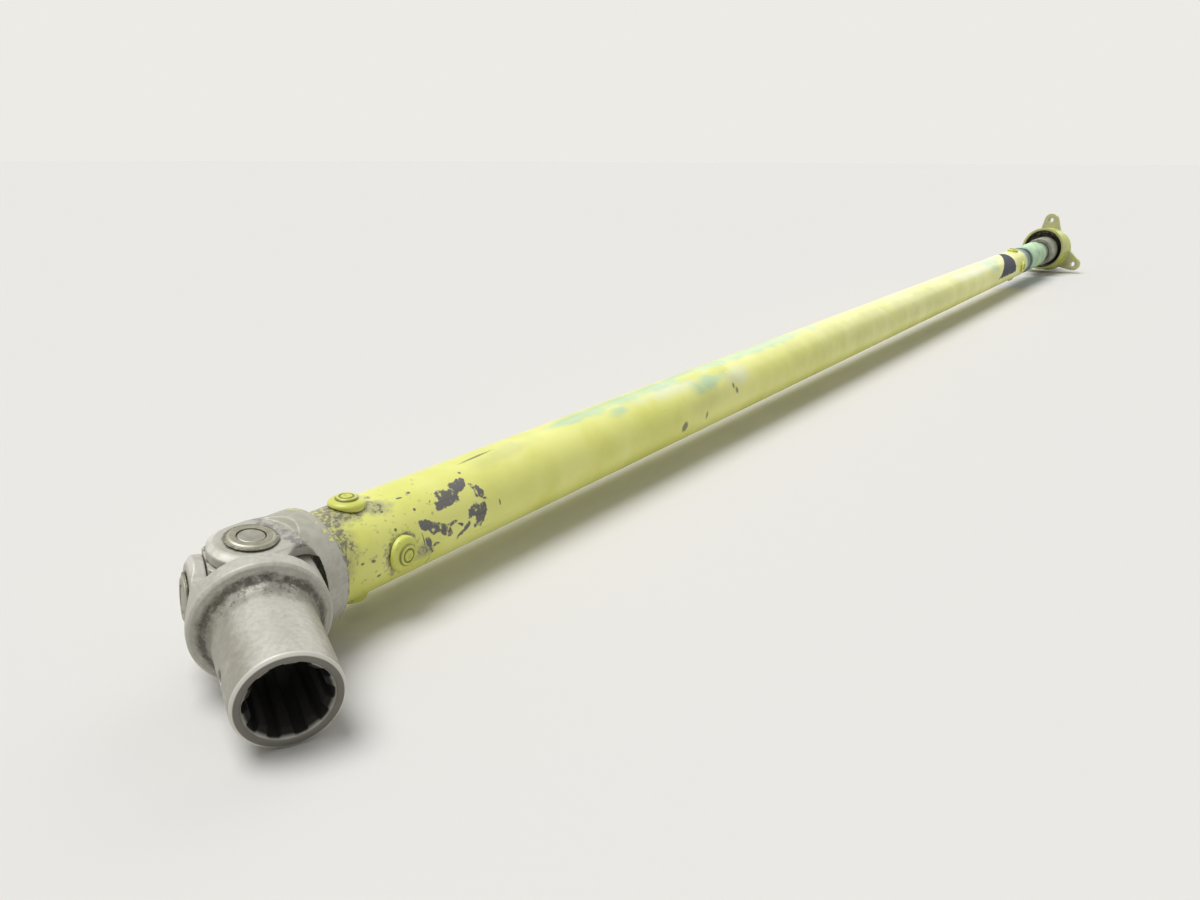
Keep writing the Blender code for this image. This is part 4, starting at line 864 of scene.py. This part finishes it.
# A head has a ring groove and a dimple; each pair is how far below its top, and the radius, in mm
head_steps = [(0.15, 3.0), (0.1, 2.5), (0.55, 2.3), (0.55, 1.9), (0.05, 1.7), (0.0, 1.1), (0.25, 0.9),
              (0.25, 0.0)]
rivet_half = [(head_foot, RIVET_RADIUS), (head_foot, RIVET_HEAD_RADIUS),
              (head_foot + 0.3 * MM, RIVET_HEAD_RADIUS)]
rivet_half += [(head_top - down * MM, radius * MM) for down, radius in head_steps]
rivet_outline = [(-along, radius) for along, radius in reversed(rivet_half)] + rivet_half
for end, edge_x, inward in (("near", tube_low.x, 1.0), ("far", tube_high.x, -1.0)):
    for turn_index, way in enumerate(("upright", "level")):
        rivet_x = edge_x + inward * (RIVET_FROM_END + turn_index * RIVET_SPACING)
        roll = Matrix.Rotation(RIVET_ROLL + turn_index * math.pi / 2, 4, "X")
        rivet_place = Matrix.Translation((rivet_x, 0.0, 0.0)) @ roll @ ALONG_Z
        rivet = turned(f"{end}_cross_rivet_{way}", soften(rivet_outline, 0.2 * MM), 64, place=rivet_place)
        seat(rivet, rivet_paint, "rod", "rivet_paint", f"{end}_rivet_{way}", crisp=False)
        for label, flip in (("a", 0.0), ("b", math.pi)):
            washer = turned(f"{end}_saddle_washer_{way}_{label}", soften(washer_outline, 0.5 * MM, True), 64,
                            True)
            saddle = [(-4 * WASHER_RADIUS, washer_foot), (4 * WASHER_RADIUS, washer_foot)]
            cut_and_wear(washer, WASHER_VOXEL, 2, [turned("saddle", saddle, 160, place=ALONG_Z)])
            washer.data.transform(rivet_place @ Matrix.Rotation(flip, 4, "Y"))
            seat(washer, washer_paint, "rod", "washer_paint", f"{end}_washer_{way}_{label}", crisp=False)

# Bearing shaft
# One turned and plated steel shaft riveted into the tube's far end: a neck, a groove, a long
# drum, the seat of the bearing and a stub with ten splines. Its plating has a pale green tint.
SHANK_END_CHAMFER = 1.0 * MM
NECK_RADIUS = 14.2 * MM
NECK_LENGTH = 25.0 * MM
GROOVE_RADIUS = 12.0 * MM
GROOVE_LENGTH = 10.0 * MM
DRUM_RADIUS = 15.0 * MM
DRUM_LENGTH = 84.0 * MM
SEAT_RADIUS = 11.6 * MM
CLIP_GROOVE = 1.1 * MM
CLIP_WIDTH = 1.2 * MM
SPLINE_RELIEF = 4.0 * MM
STUB_LENGTH = 42.0 * MM
STUB_CHAMFER = 1.2 * MM
SHAFT_MINT = "#a4d09c"
SHAFT_TEAL = "#86b0a4"
SHAFT_GREY = "#93ab8e"
SHAFT_BARE = "#8f918a"
NECK_DIRT_AND_SHADE = "#35332d"
NECK_LILAC = "#9d94ac"

shaft_low, shaft_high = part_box("bearing_shaft")
clip_low, clip_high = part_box("shaft_circlip")
face_x = tube_high.x + FIT_GAP
neck_end = face_x + NECK_LENGTH
drum_start = neck_end + GROOVE_LENGTH
drum_end = drum_start + DRUM_LENGTH
stub_start = shaft_high.x - STUB_LENGTH
root_radius = SPLINE_MINOR - FIT_GAP
teeth = soften(spline_outline(root_radius - FIT_GAP, SPLINE_MAJOR - FIT_GAP, SPLINE_WIDTH - FIT_GAP),
               0.2 * MM, True)
shaft_outline = soften([
    (shaft_low.x, SHANK_RADIUS - SHANK_END_CHAMFER), (shaft_low.x + SHANK_END_CHAMFER, SHANK_RADIUS),
    (face_x, SHANK_RADIUS), (face_x, NECK_RADIUS), (neck_end - SHANK_END_CHAMFER, NECK_RADIUS),
    (neck_end, GROOVE_RADIUS), (drum_start, GROOVE_RADIUS), (drum_start, DRUM_RADIUS - SHANK_END_CHAMFER),
    (drum_start + SHANK_END_CHAMFER, DRUM_RADIUS), (drum_end - SHANK_END_CHAMFER, DRUM_RADIUS),
    (drum_end, DRUM_RADIUS - SHANK_END_CHAMFER), (drum_end, SEAT_RADIUS),
    (clip_low.x - FIT_GAP, SEAT_RADIUS), (clip_low.x - FIT_GAP, SEAT_RADIUS - CLIP_GROOVE),
    (clip_high.x + FIT_GAP, SEAT_RADIUS - CLIP_GROOVE), (clip_high.x + FIT_GAP, SEAT_RADIUS),
    (stub_start - SPLINE_RELIEF / 2, SEAT_RADIUS), (stub_start, root_radius)], 0.35 * MM)
ways = [Vector(point).normalized() for point in teeth]
shaft_rings = [[(along, radius * way.x, radius * way.y) for way in ways] for along, radius in shaft_outline]
# Along the stub the rings follow the teeth, cut off at a radius that rises at one end and falls at the other
for along, tip in ((stub_start + 0.4 * MM, root_radius + 0.2 * MM), (stub_start + 2.2 * MM, SEAT_RADIUS),
                   (shaft_high.x - 2 * STUB_CHAMFER, SEAT_RADIUS),
                   (shaft_high.x, SEAT_RADIUS - 2.4 * STUB_CHAMFER)):
    shaft_rings.append([(along, min(point.length, tip) * way.x, min(point.length, tip) * way.y)
                        for point, way in zip(teeth, ways)])
shaft = loft("turned_bearing_shaft", shaft_rings)
shaft.data.set_sharp_from_angle(angle=math.radians(40.0))

# Chromated zinc: satin mint with cloudy stains; teal neck, its end and the groove darkened as dirt and
# painted shade, bare grey past the drum
zinc = Finish("chromated_zinc_plated_shaft", metallic=0.45)
zinc.mottle(11, 6, [(0.34, SHAFT_GREY), (0.58, SHAFT_MINT)], (0.5, 0.34))
shaft_along = node(zinc.tree, "SeparateXYZ", None, {"Vector": zinc.place}).outputs["X"]
zinc.stain(SHAFT_TEAL, 0.75, zinc.zone(shaft_along, None, drum_start + 6.0 * MM, 10.0 * MM))
# The groove and the end of the neck, darker as dirt and painted shade
neck_dirt_and_shade = zinc.zone(shaft_along, neck_end - 15.0 * MM, drum_start + 0.6 * MM, 2.0 * MM)
zinc.stain(NECK_DIRT_AND_SHADE, 0.80, neck_dirt_and_shade)
zinc.stain(NECK_LILAC, 0.7, zinc.specks(7, 0.25, neck_dirt_and_shade))
zinc.stain(SHAFT_BARE, 0.85, zinc.zone(shaft_along, drum_end + 0.8 * MM, None, 1.2 * MM))
zinc.stain(SHAFT_GREY, 0.6, zinc.specks(9, 0.5, zinc.zone(shaft_along, drum_start, drum_end, 1.0 * MM), 0.75))
# Turning marks are 0.1 mm apart; they are drawn 0.6 mm apart so that they show
turning_marks = node(zinc.tree, "TexWave", {"wave_type": "BANDS", "bands_direction": "X"}, {
    "Vector": zinc.place, "Scale": pattern_scale(0.6) / 20, "Distortion": 0.6, "Detail": 2.0})
zinc.feed("Normal", node(zinc.tree, "Bump", None,
                         {"Strength": 0.08, "Distance": 0.03 * MM, "Height": turning_marks}))
seat(shaft, zinc, "rod", "shaft_plating", "bearing_shaft")

# Spacer sleeve
# A plain turned steel sleeve on the bearing seat, between the drum and the inner ring. Its zinc
# plating has gone dull grey, with grease at the end by the bearing.
SPACER_RADIUS = 16.5 * MM
SPACER_BORE = 11.9 * MM
SPACER_NOSE_RADIUS = 14.2 * MM
SPACER_NOSE = 4.0 * MM
SPACER_LIGHT = "#a6a899"
SPACER_DULL = "#7f8276"
SPACER_GREASE = "#3d3a2c"

spacer_low, spacer_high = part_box("spacer_sleeve")
nose_x = spacer_high.x - SPACER_NOSE
spacer_outline = [(spacer_low.x, SPACER_BORE), (spacer_low.x, SPACER_RADIUS), (nose_x, SPACER_RADIUS),
                  (nose_x, SPACER_NOSE_RADIUS), (spacer_high.x, SPACER_NOSE_RADIUS),
                  (spacer_high.x, SPACER_BORE)]
spacer = turned("plated_spacer_sleeve", soften(spacer_outline, 0.8 * MM, True), 128, True)
# Old zinc: dull cloudy grey, with a ragged film of dark grease
old_zinc = Finish("dull_zinc_plated_sleeve", metallic=0.6, roughness=0.48)
old_zinc.mottle(8, 7, [(0.36, SPACER_DULL), (0.62, SPACER_LIGHT)])
grease_reach = node(old_zinc.tree, "Math", {"operation": "ADD"}, {
    0: node(old_zinc.tree, "SeparateXYZ", None, {"Vector": old_zinc.place}).outputs["X"],
    1: old_zinc.ragged(6, 6.0 * MM)})
old_zinc.stain(SPACER_GREASE, 0.8, old_zinc.zone(grease_reach, nose_x - 5.0 * MM, None, 7.0 * MM))
seat(spacer, old_zinc, "rod", "shaft_plating", "spacer_sleeve")

# Bearing
# A sealed ball bearing: inner ring on the shaft, fourteen balls in a brass cage, outer ring with a
# spherical outside, and a moulded black seal on each side under a film of old grease.
INNER_RING_RADIUS = 14.6 * MM
BALL_RADIUS = 2.3 * MM
BALL_CIRCLE = 16.5 * MM
BALL_COUNT = 14
OUTER_BORE = 18.4 * MM
OUTER_SPHERE = 20.6 * MM
GROOVE_GAP = 0.3 * MM
CAGE_HALF_WIDTH = 3.3 * MM
CAGE_HALF_THICKNESS = 0.7 * MM
CAGE_VOXEL = 0.25 * MM
SEAL_THICKNESS = 0.8 * MM
SEAL_DIMPLE = 0.35 * MM

ring_low, ring_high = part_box("bearing_inner_ring")
outer_low, outer_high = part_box("bearing_outer_ring")
bearing_place = Matrix.Translation(joint_by_name["bearing_spin"]["pos_m"])

# Ground steel: bright and smooth, faintly cloudy
ring_steel = Finish("ground_bearing_steel", metallic=1.0)
ring_steel.mottle(4, 5, [(0.35, "#8c8b82"), (0.62, "#b4b4ae")], (0.42, 0.22))
# The same steel under old grease: dark brown with a wet shine
greased_steel = Finish("greased_bearing_steel", metallic=0.7, roughness=0.35)
greased_steel.mottle(4, 6, [(0.38, "#26241b"), (0.66, "#6f6b58")])

half_ring = (ring_high.x - ring_low.x) / 2
groove = BALL_RADIUS + GROOVE_GAP
spread = math.acos((BALL_CIRCLE - INNER_RING_RADIUS) / groove)
inner_outline = [(-half_ring, SPACER_BORE), (-half_ring, INNER_RING_RADIUS)]
inner_outline += arc(0.0, BALL_CIRCLE, groove, -math.pi / 2 - spread, -math.pi / 2 + spread, 14)
inner_outline += [(half_ring, INNER_RING_RADIUS), (half_ring, SPACER_BORE)]
inner_ring = turned("ground_inner_ring", soften(inner_outline, 0.3 * MM, True), 128, True, bearing_place)
seat(inner_ring, ring_steel, "rod", "bearing_steel", "bearing_inner_ring")

half_outer = (outer_high.x - outer_low.x) / 2
edge = math.acos((OUTER_BORE - BALL_CIRCLE) / groove)
bow = math.asin(half_outer / OUTER_SPHERE)
seal_seat = half_outer - SEAL_THICKNESS - FIT_GAP
seal_radius = OUTER_BORE + 2 * FIT_GAP
outer_outline = arc(0.0, 0.0, OUTER_SPHERE, math.pi / 2 + bow, math.pi / 2 - bow, 16)
outer_outline += [(half_outer, seal_radius), (seal_seat, seal_radius), (seal_seat, OUTER_BORE)]
outer_outline += arc(0.0, BALL_CIRCLE, groove, math.pi / 2 - edge, math.pi / 2 + edge, 14)
outer_outline += [(-seal_seat, OUTER_BORE), (-seal_seat, seal_radius), (-half_outer, seal_radius)]
outer_ring = turned("ground_outer_ring", soften(outer_outline, 0.2 * MM, True), 128, True, bearing_place)
seat(outer_ring, greased_steel, "outer_ring", "bearing_steel", "bearing_outer_ring")

# Moulded rubber: near black, with a brown film that shines in places
seal_rubber = Finish("greasy_nitrile_rubber_seal")
seal_rubber.mottle(5, 6, [(0.42, "#141411"), (0.66, "#4b4733")], (0.65, 0.30))
seal_inner = INNER_RING_RADIUS + FIT_GAP
seal_outer = OUTER_BORE + FIT_GAP
for label, side in (("front", -1), ("rear", 1)):
    outside, inside, dimple = [side * (half_outer - sink) for sink in (0.0, SEAL_THICKNESS, SEAL_DIMPLE)]
    seal_outline = [(inside, seal_inner), (inside, seal_outer), (outside, seal_outer),
                    (outside, seal_outer - 0.7 * MM),
                    (dimple, seal_outer - 1.0 * MM), (dimple, seal_inner + 1.0 * MM),
                    (outside, seal_inner + 0.6 * MM), (outside, seal_inner)]
    seal = turned(f"moulded_seal_{label}", soften(seal_outline, 0.15 * MM, True), 128, True, bearing_place)
    seat(seal, seal_rubber, "outer_ring", "seal_rubber", f"bearing_seal_{label}")

# Machined brass: warm yellow metal with a satin shine
cage_brass = Finish("machined_brass_cage", metallic=1.0, roughness=0.38)
cage_brass.mottle(3, 4, [(0.35, "#a8854a"), (0.65, "#c9a765")])
cage_low = BALL_CIRCLE - CAGE_HALF_THICKNESS
cage_high = BALL_CIRCLE + CAGE_HALF_THICKNESS
cage = turned("brass_ball_cage", [(-CAGE_HALF_WIDTH, cage_low), (-CAGE_HALF_WIDTH, cage_high),
                                  (CAGE_HALF_WIDTH, cage_high), (CAGE_HALF_WIDTH, cage_low)], 168, True)
pocket = [(BALL_CIRCLE - BALL_RADIUS, groove), (BALL_CIRCLE + BALL_RADIUS, groove)]
pockets = []
ball_outline = arc(0.0, 0.0, BALL_RADIUS, math.pi, 0.0, 20)
ball_outline[0], ball_outline[-1] = (-BALL_RADIUS, 0.0), (BALL_RADIUS, 0.0)
for index in range(BALL_COUNT):
    turn = Matrix.Rotation(2 * math.pi * index / BALL_COUNT, 4, "X")
    ball = turned(f"steel_ball_{index + 1:02d}", ball_outline, 40,
                  place=bearing_place @ turn @ Matrix.Translation((0.0, 0.0, BALL_CIRCLE)))
    seat(ball, ring_steel, "ball_set", "bearing_steel", f"bearing_ball_{index + 1:02d}", crisp=False)
    pockets.append(turned(f"pocket_{index}", pocket, 40, place=turn @ ALONG_Z))
cut_and_wear(cage, CAGE_VOXEL, 1, pockets)
cage.data.transform(bearing_place)
seat(cage, cage_brass, "ball_set", "cage_brass", "bearing_cage", crisp=False)

# Split rings
# Two snap rings of dark oiled spring steel. One in the shaft's groove holds the inner ring, the
# other in the housing's groove holds the aligning race. Each is open at the bottom.
CLIP_HEIGHT = 2.2 * MM
CLIP_GAP_ANGLE = math.radians(26.0)
CLIP_SINK = 0.8 * MM
CLIP_STEPS = 120
HOUSING_BORE = 23.2 * MM
RACE_HALF_WIDTH = 6.0 * MM
HOUSING_TILT = math.radians(11.0)

# Oil-blacked steel: dark grey with a low shine
spring_steel = Finish("oil_blacked_spring_steel", metallic=0.9, roughness=0.4)
spring_steel.mottle(2.5, 5, [(0.35, "#33322e"), (0.65, "#5b5a55")])


def split_ring(name, inner, start, place, body, node_name):
    """A flat ring open at the bottom, with rounded ends and edges, in its groove."""
    outer = inner + CLIP_HEIGHT
    section = soften([(start, inner), (start, outer), (start + CLIP_WIDTH, outer),
                      (start + CLIP_WIDTH, inner)],
                     0.15 * MM, True)
    first = -math.pi / 2 + CLIP_GAP_ANGLE / 2
    sweep = 2 * math.pi - CLIP_GAP_ANGLE
    angles = [first + sweep * step / CLIP_STEPS for step in range(CLIP_STEPS + 1)]
    ring = loft(name, [[(point.x, point.y * math.cos(angle), point.y * math.sin(angle)) for point in section]
                       for angle in angles])
    ring.data.transform(place)
    seat(ring, spring_steel, body, "spring_steel", node_name)


tilt_axis = Vector(joint_by_name["housing_tilt"]["axis"]).normalized()
housing_place = bearing_place @ Matrix.Rotation(HOUSING_TILT, 4, tilt_axis)
clip_start = -RACE_HALF_WIDTH - 2 * FIT_GAP - CLIP_WIDTH
split_ring("shaft_snap_ring", SEAT_RADIUS - CLIP_SINK, clip_low.x, Matrix.Identity(4), "rod", "shaft_circlip")
split_ring("housing_snap_ring", HOUSING_BORE + CLIP_SINK - CLIP_HEIGHT, clip_start, housing_place, "housing",
           "housing_retaining_ring")

# Aligning race
# A ground steel ring pressed into the housing. Its inside is a sphere, on which the bearing's outer
# ring tilts. It has the same greased steel as that ring.
RACE_SPHERE = 20.9 * MM
RACE_RADIUS = 22.9 * MM

race_bow = math.asin(RACE_HALF_WIDTH / RACE_SPHERE)
race_outline = [(-RACE_HALF_WIDTH, RACE_RADIUS), (RACE_HALF_WIDTH, RACE_RADIUS)]
race_outline += arc(0.0, 0.0, RACE_SPHERE, math.pi / 2 - race_bow, math.pi / 2 + race_bow, 16)
race = turned("ground_aligning_race", soften(race_outline, 0.2 * MM, True), 128, True, housing_place)
seat(race, greased_steel, "housing", "bearing_steel", "aligning_race")

# Bearing housing
# A machined aluminium cup with three lugs for bolts, sprayed with the same primer. Its rim and
# lugs are rubbed pale, and old grease has browned the inside.
HOUSING_RADIUS = 26.2 * MM
HOUSING_HALF_DEPTH = 14.0 * MM
HOUSING_BACK_LIP = 2.2 * MM
HOUSING_VOXEL = 0.42 * MM
FLANGE_STEP = 0.4 * MM
LUG_COUNT = 3
LUG_CIRCLE = 37.0 * MM
LUG_RADIUS = 8.0 * MM
LUG_THICKNESS = 7.0 * MM
LUG_HOLE_RADIUS = 2.9 * MM
LUG_FLANK = math.radians(16.0)
LUG_FILLET = 5.0 * MM
LUG_ROLL = math.radians(-2.4)
HOUSING_LIGHT = "#d3d770"
HOUSING_DEEP = "#bcc25a"
WORN_PALE = "#bbb6a0"
INSIDE_BROWN = "#5e5840"
INSIDE_DARK = "#2c2920"


def rounded_corner(before, corner, after, radius, steps):
    """Points of a fillet that replaces a corner between two straight runs."""
    corner = Vector(corner)
    towards_before = (Vector(before) - corner).normalized()
    towards_after = (Vector(after) - corner).normalized()
    half_angle = towards_before.angle(towards_after) / 2
    centre = corner + (towards_before + towards_after).normalized() * radius / math.sin(half_angle)
    start = corner + towards_before * radius / math.tan(half_angle) - centre
    finish = corner + towards_after * radius / math.tan(half_angle) - centre
    turn = start.angle_signed(finish)
    return [centre + Matrix.Rotation(-turn * step / steps, 2) @ start for step in range(steps + 1)]


def flange_outline():
    """The flange seen along its axis: a disc whose three lugs blend in with fillets."""
    disc = HOUSING_RADIUS + FLANGE_STEP
    side_x = LUG_RADIUS * math.cos(LUG_FLANK)
    side_y = LUG_CIRCLE + LUG_RADIUS * math.sin(LUG_FLANK)
    slope = math.tan(LUG_FLANK)
    reach = 1.0 + slope ** 2
    offset = side_x + side_y * slope
    foot_y = (offset * slope + math.sqrt(reach * disc ** 2 - offset ** 2)) / reach
    foot_x = offset - foot_y * slope
    beside = math.atan2(foot_y, foot_x) - LUG_FILLET / disc
    pitch = 2 * math.pi / LUG_COUNT
    on_disc = (disc * math.cos(beside), disc * math.sin(beside))
    fillet = rounded_corner(on_disc, (foot_x, foot_y), (side_x, side_y), LUG_FILLET, 10)
    tip = arc(0.0, LUG_CIRCLE, LUG_RADIUS, LUG_FLANK, math.pi - LUG_FLANK, 40)
    mirrored = [(-point[0], point[1]) for point in reversed(fillet)]
    points = []
    for index in range(LUG_COUNT):
        turn = Matrix.Rotation(index * pitch, 2)
        points += [tuple(turn @ Vector(point)) for point in list(fillet) + tip + mirrored]
        points += arc(0.0, 0.0, disc, math.pi - beside + index * pitch, beside + (index + 1) * pitch, 30)
    return points


back = RACE_HALF_WIDTH + FIT_GAP
clip_end = clip_start + CLIP_WIDTH + 2 * FIT_GAP
groove_radius = HOUSING_BORE + CLIP_GROOVE
cup_outline = [(back, 0.0), (back, HOUSING_BORE), (clip_end, HOUSING_BORE), (clip_end, groove_radius),
               (clip_start, groove_radius), (clip_start, HOUSING_BORE), (-HOUSING_HALF_DEPTH, HOUSING_BORE),
               (-HOUSING_HALF_DEPTH, HOUSING_RADIUS), (HOUSING_HALF_DEPTH, HOUSING_RADIUS),
               (HOUSING_HALF_DEPTH, 0.0)]
housing = turned("lugged_bearing_housing", cup_outline, 180)
facing = Matrix.Rotation(LUG_ROLL, 4, "X") @ ALONG_Y @ Matrix.Rotation(math.pi / 2, 4, "X")
flange = tool_bar("flange", flange_outline(), HOUSING_HALF_DEPTH - LUG_THICKNESS, HOUSING_HALF_DEPTH, facing)
opening = HOUSING_BORE - HOUSING_BACK_LIP
holes = [turned("opening", [(0.0, opening), (2 * HOUSING_HALF_DEPTH, opening)], 160)]
drill = [(-2 * HOUSING_HALF_DEPTH, LUG_HOLE_RADIUS), (2 * HOUSING_HALF_DEPTH, LUG_HOLE_RADIUS)]
for index in range(LUG_COUNT):
    turn = Matrix.Rotation(LUG_ROLL + 2 * math.pi * index / LUG_COUNT, 4, "X")
    holes.append(turned(f"lug_drill_{index}", drill, 48,
                        place=turn @ Matrix.Translation((0.0, 0.0, LUG_CIRCLE))))
cut_and_wear(housing, HOUSING_VOXEL, 3, holes, joined=flange)
housing.data.transform(housing_place)

house_paint = sprayed_primer("epoxy_primer_on_aluminium_housing", HOUSING_LIGHT, HOUSING_DEEP, housing_place)
house_parts = node(house_paint.tree, "SeparateXYZ", None, {"Vector": house_paint.place}).outputs
house_along = house_parts["X"]
house_radius = house_paint.distance(house_parts["Y"], house_parts["Z"])
# Rubbed pale on the rim of the cup, on the front of its lugs and along their edges
rim = house_paint.zone(house_along, None, -HOUSING_HALF_DEPTH + 0.7 * MM, 0.4 * MM)
house_paint.stain(WORN_PALE, 0.7, house_paint.specks(4, 0.5, rim, edge=0.12))
on_lugs = house_paint.zone(house_radius, HOUSING_RADIUS + 0.6 * MM, None, 0.5 * MM)
lug_front = house_paint.zone(house_along, None, HOUSING_HALF_DEPTH - LUG_THICKNESS + 0.5 * MM, 0.3 * MM)
house_paint.stain(WORN_PALE, 0.9, house_paint.specks(7, 0.8, on_lugs, lug_front, edge=0.15))
house_paint.stain(GRIME_GREY, 0.5, house_paint.specks(3, 0.5, 0.75))
# Browned inside by grease, darker towards the bearing
inside = house_paint.meet(
    house_paint.zone(house_radius, None, HOUSING_BORE + 1.0 * MM, 0.5 * MM),
    house_paint.zone(house_along, -HOUSING_HALF_DEPTH + 0.5 * MM, HOUSING_HALF_DEPTH - 0.4 * MM, 0.3 * MM))
house_paint.stain(INSIDE_BROWN, 0.85, inside)
deep_inside = house_paint.zone(house_along, -HOUSING_HALF_DEPTH + 4.0 * MM, None, 2.0 * MM)
house_paint.stain(INSIDE_DARK, 0.85, house_paint.specks(5, 0.75, inside, deep_inside))
seat(housing, house_paint, "housing", "housing_paint", "bearing_housing", crisp=False)
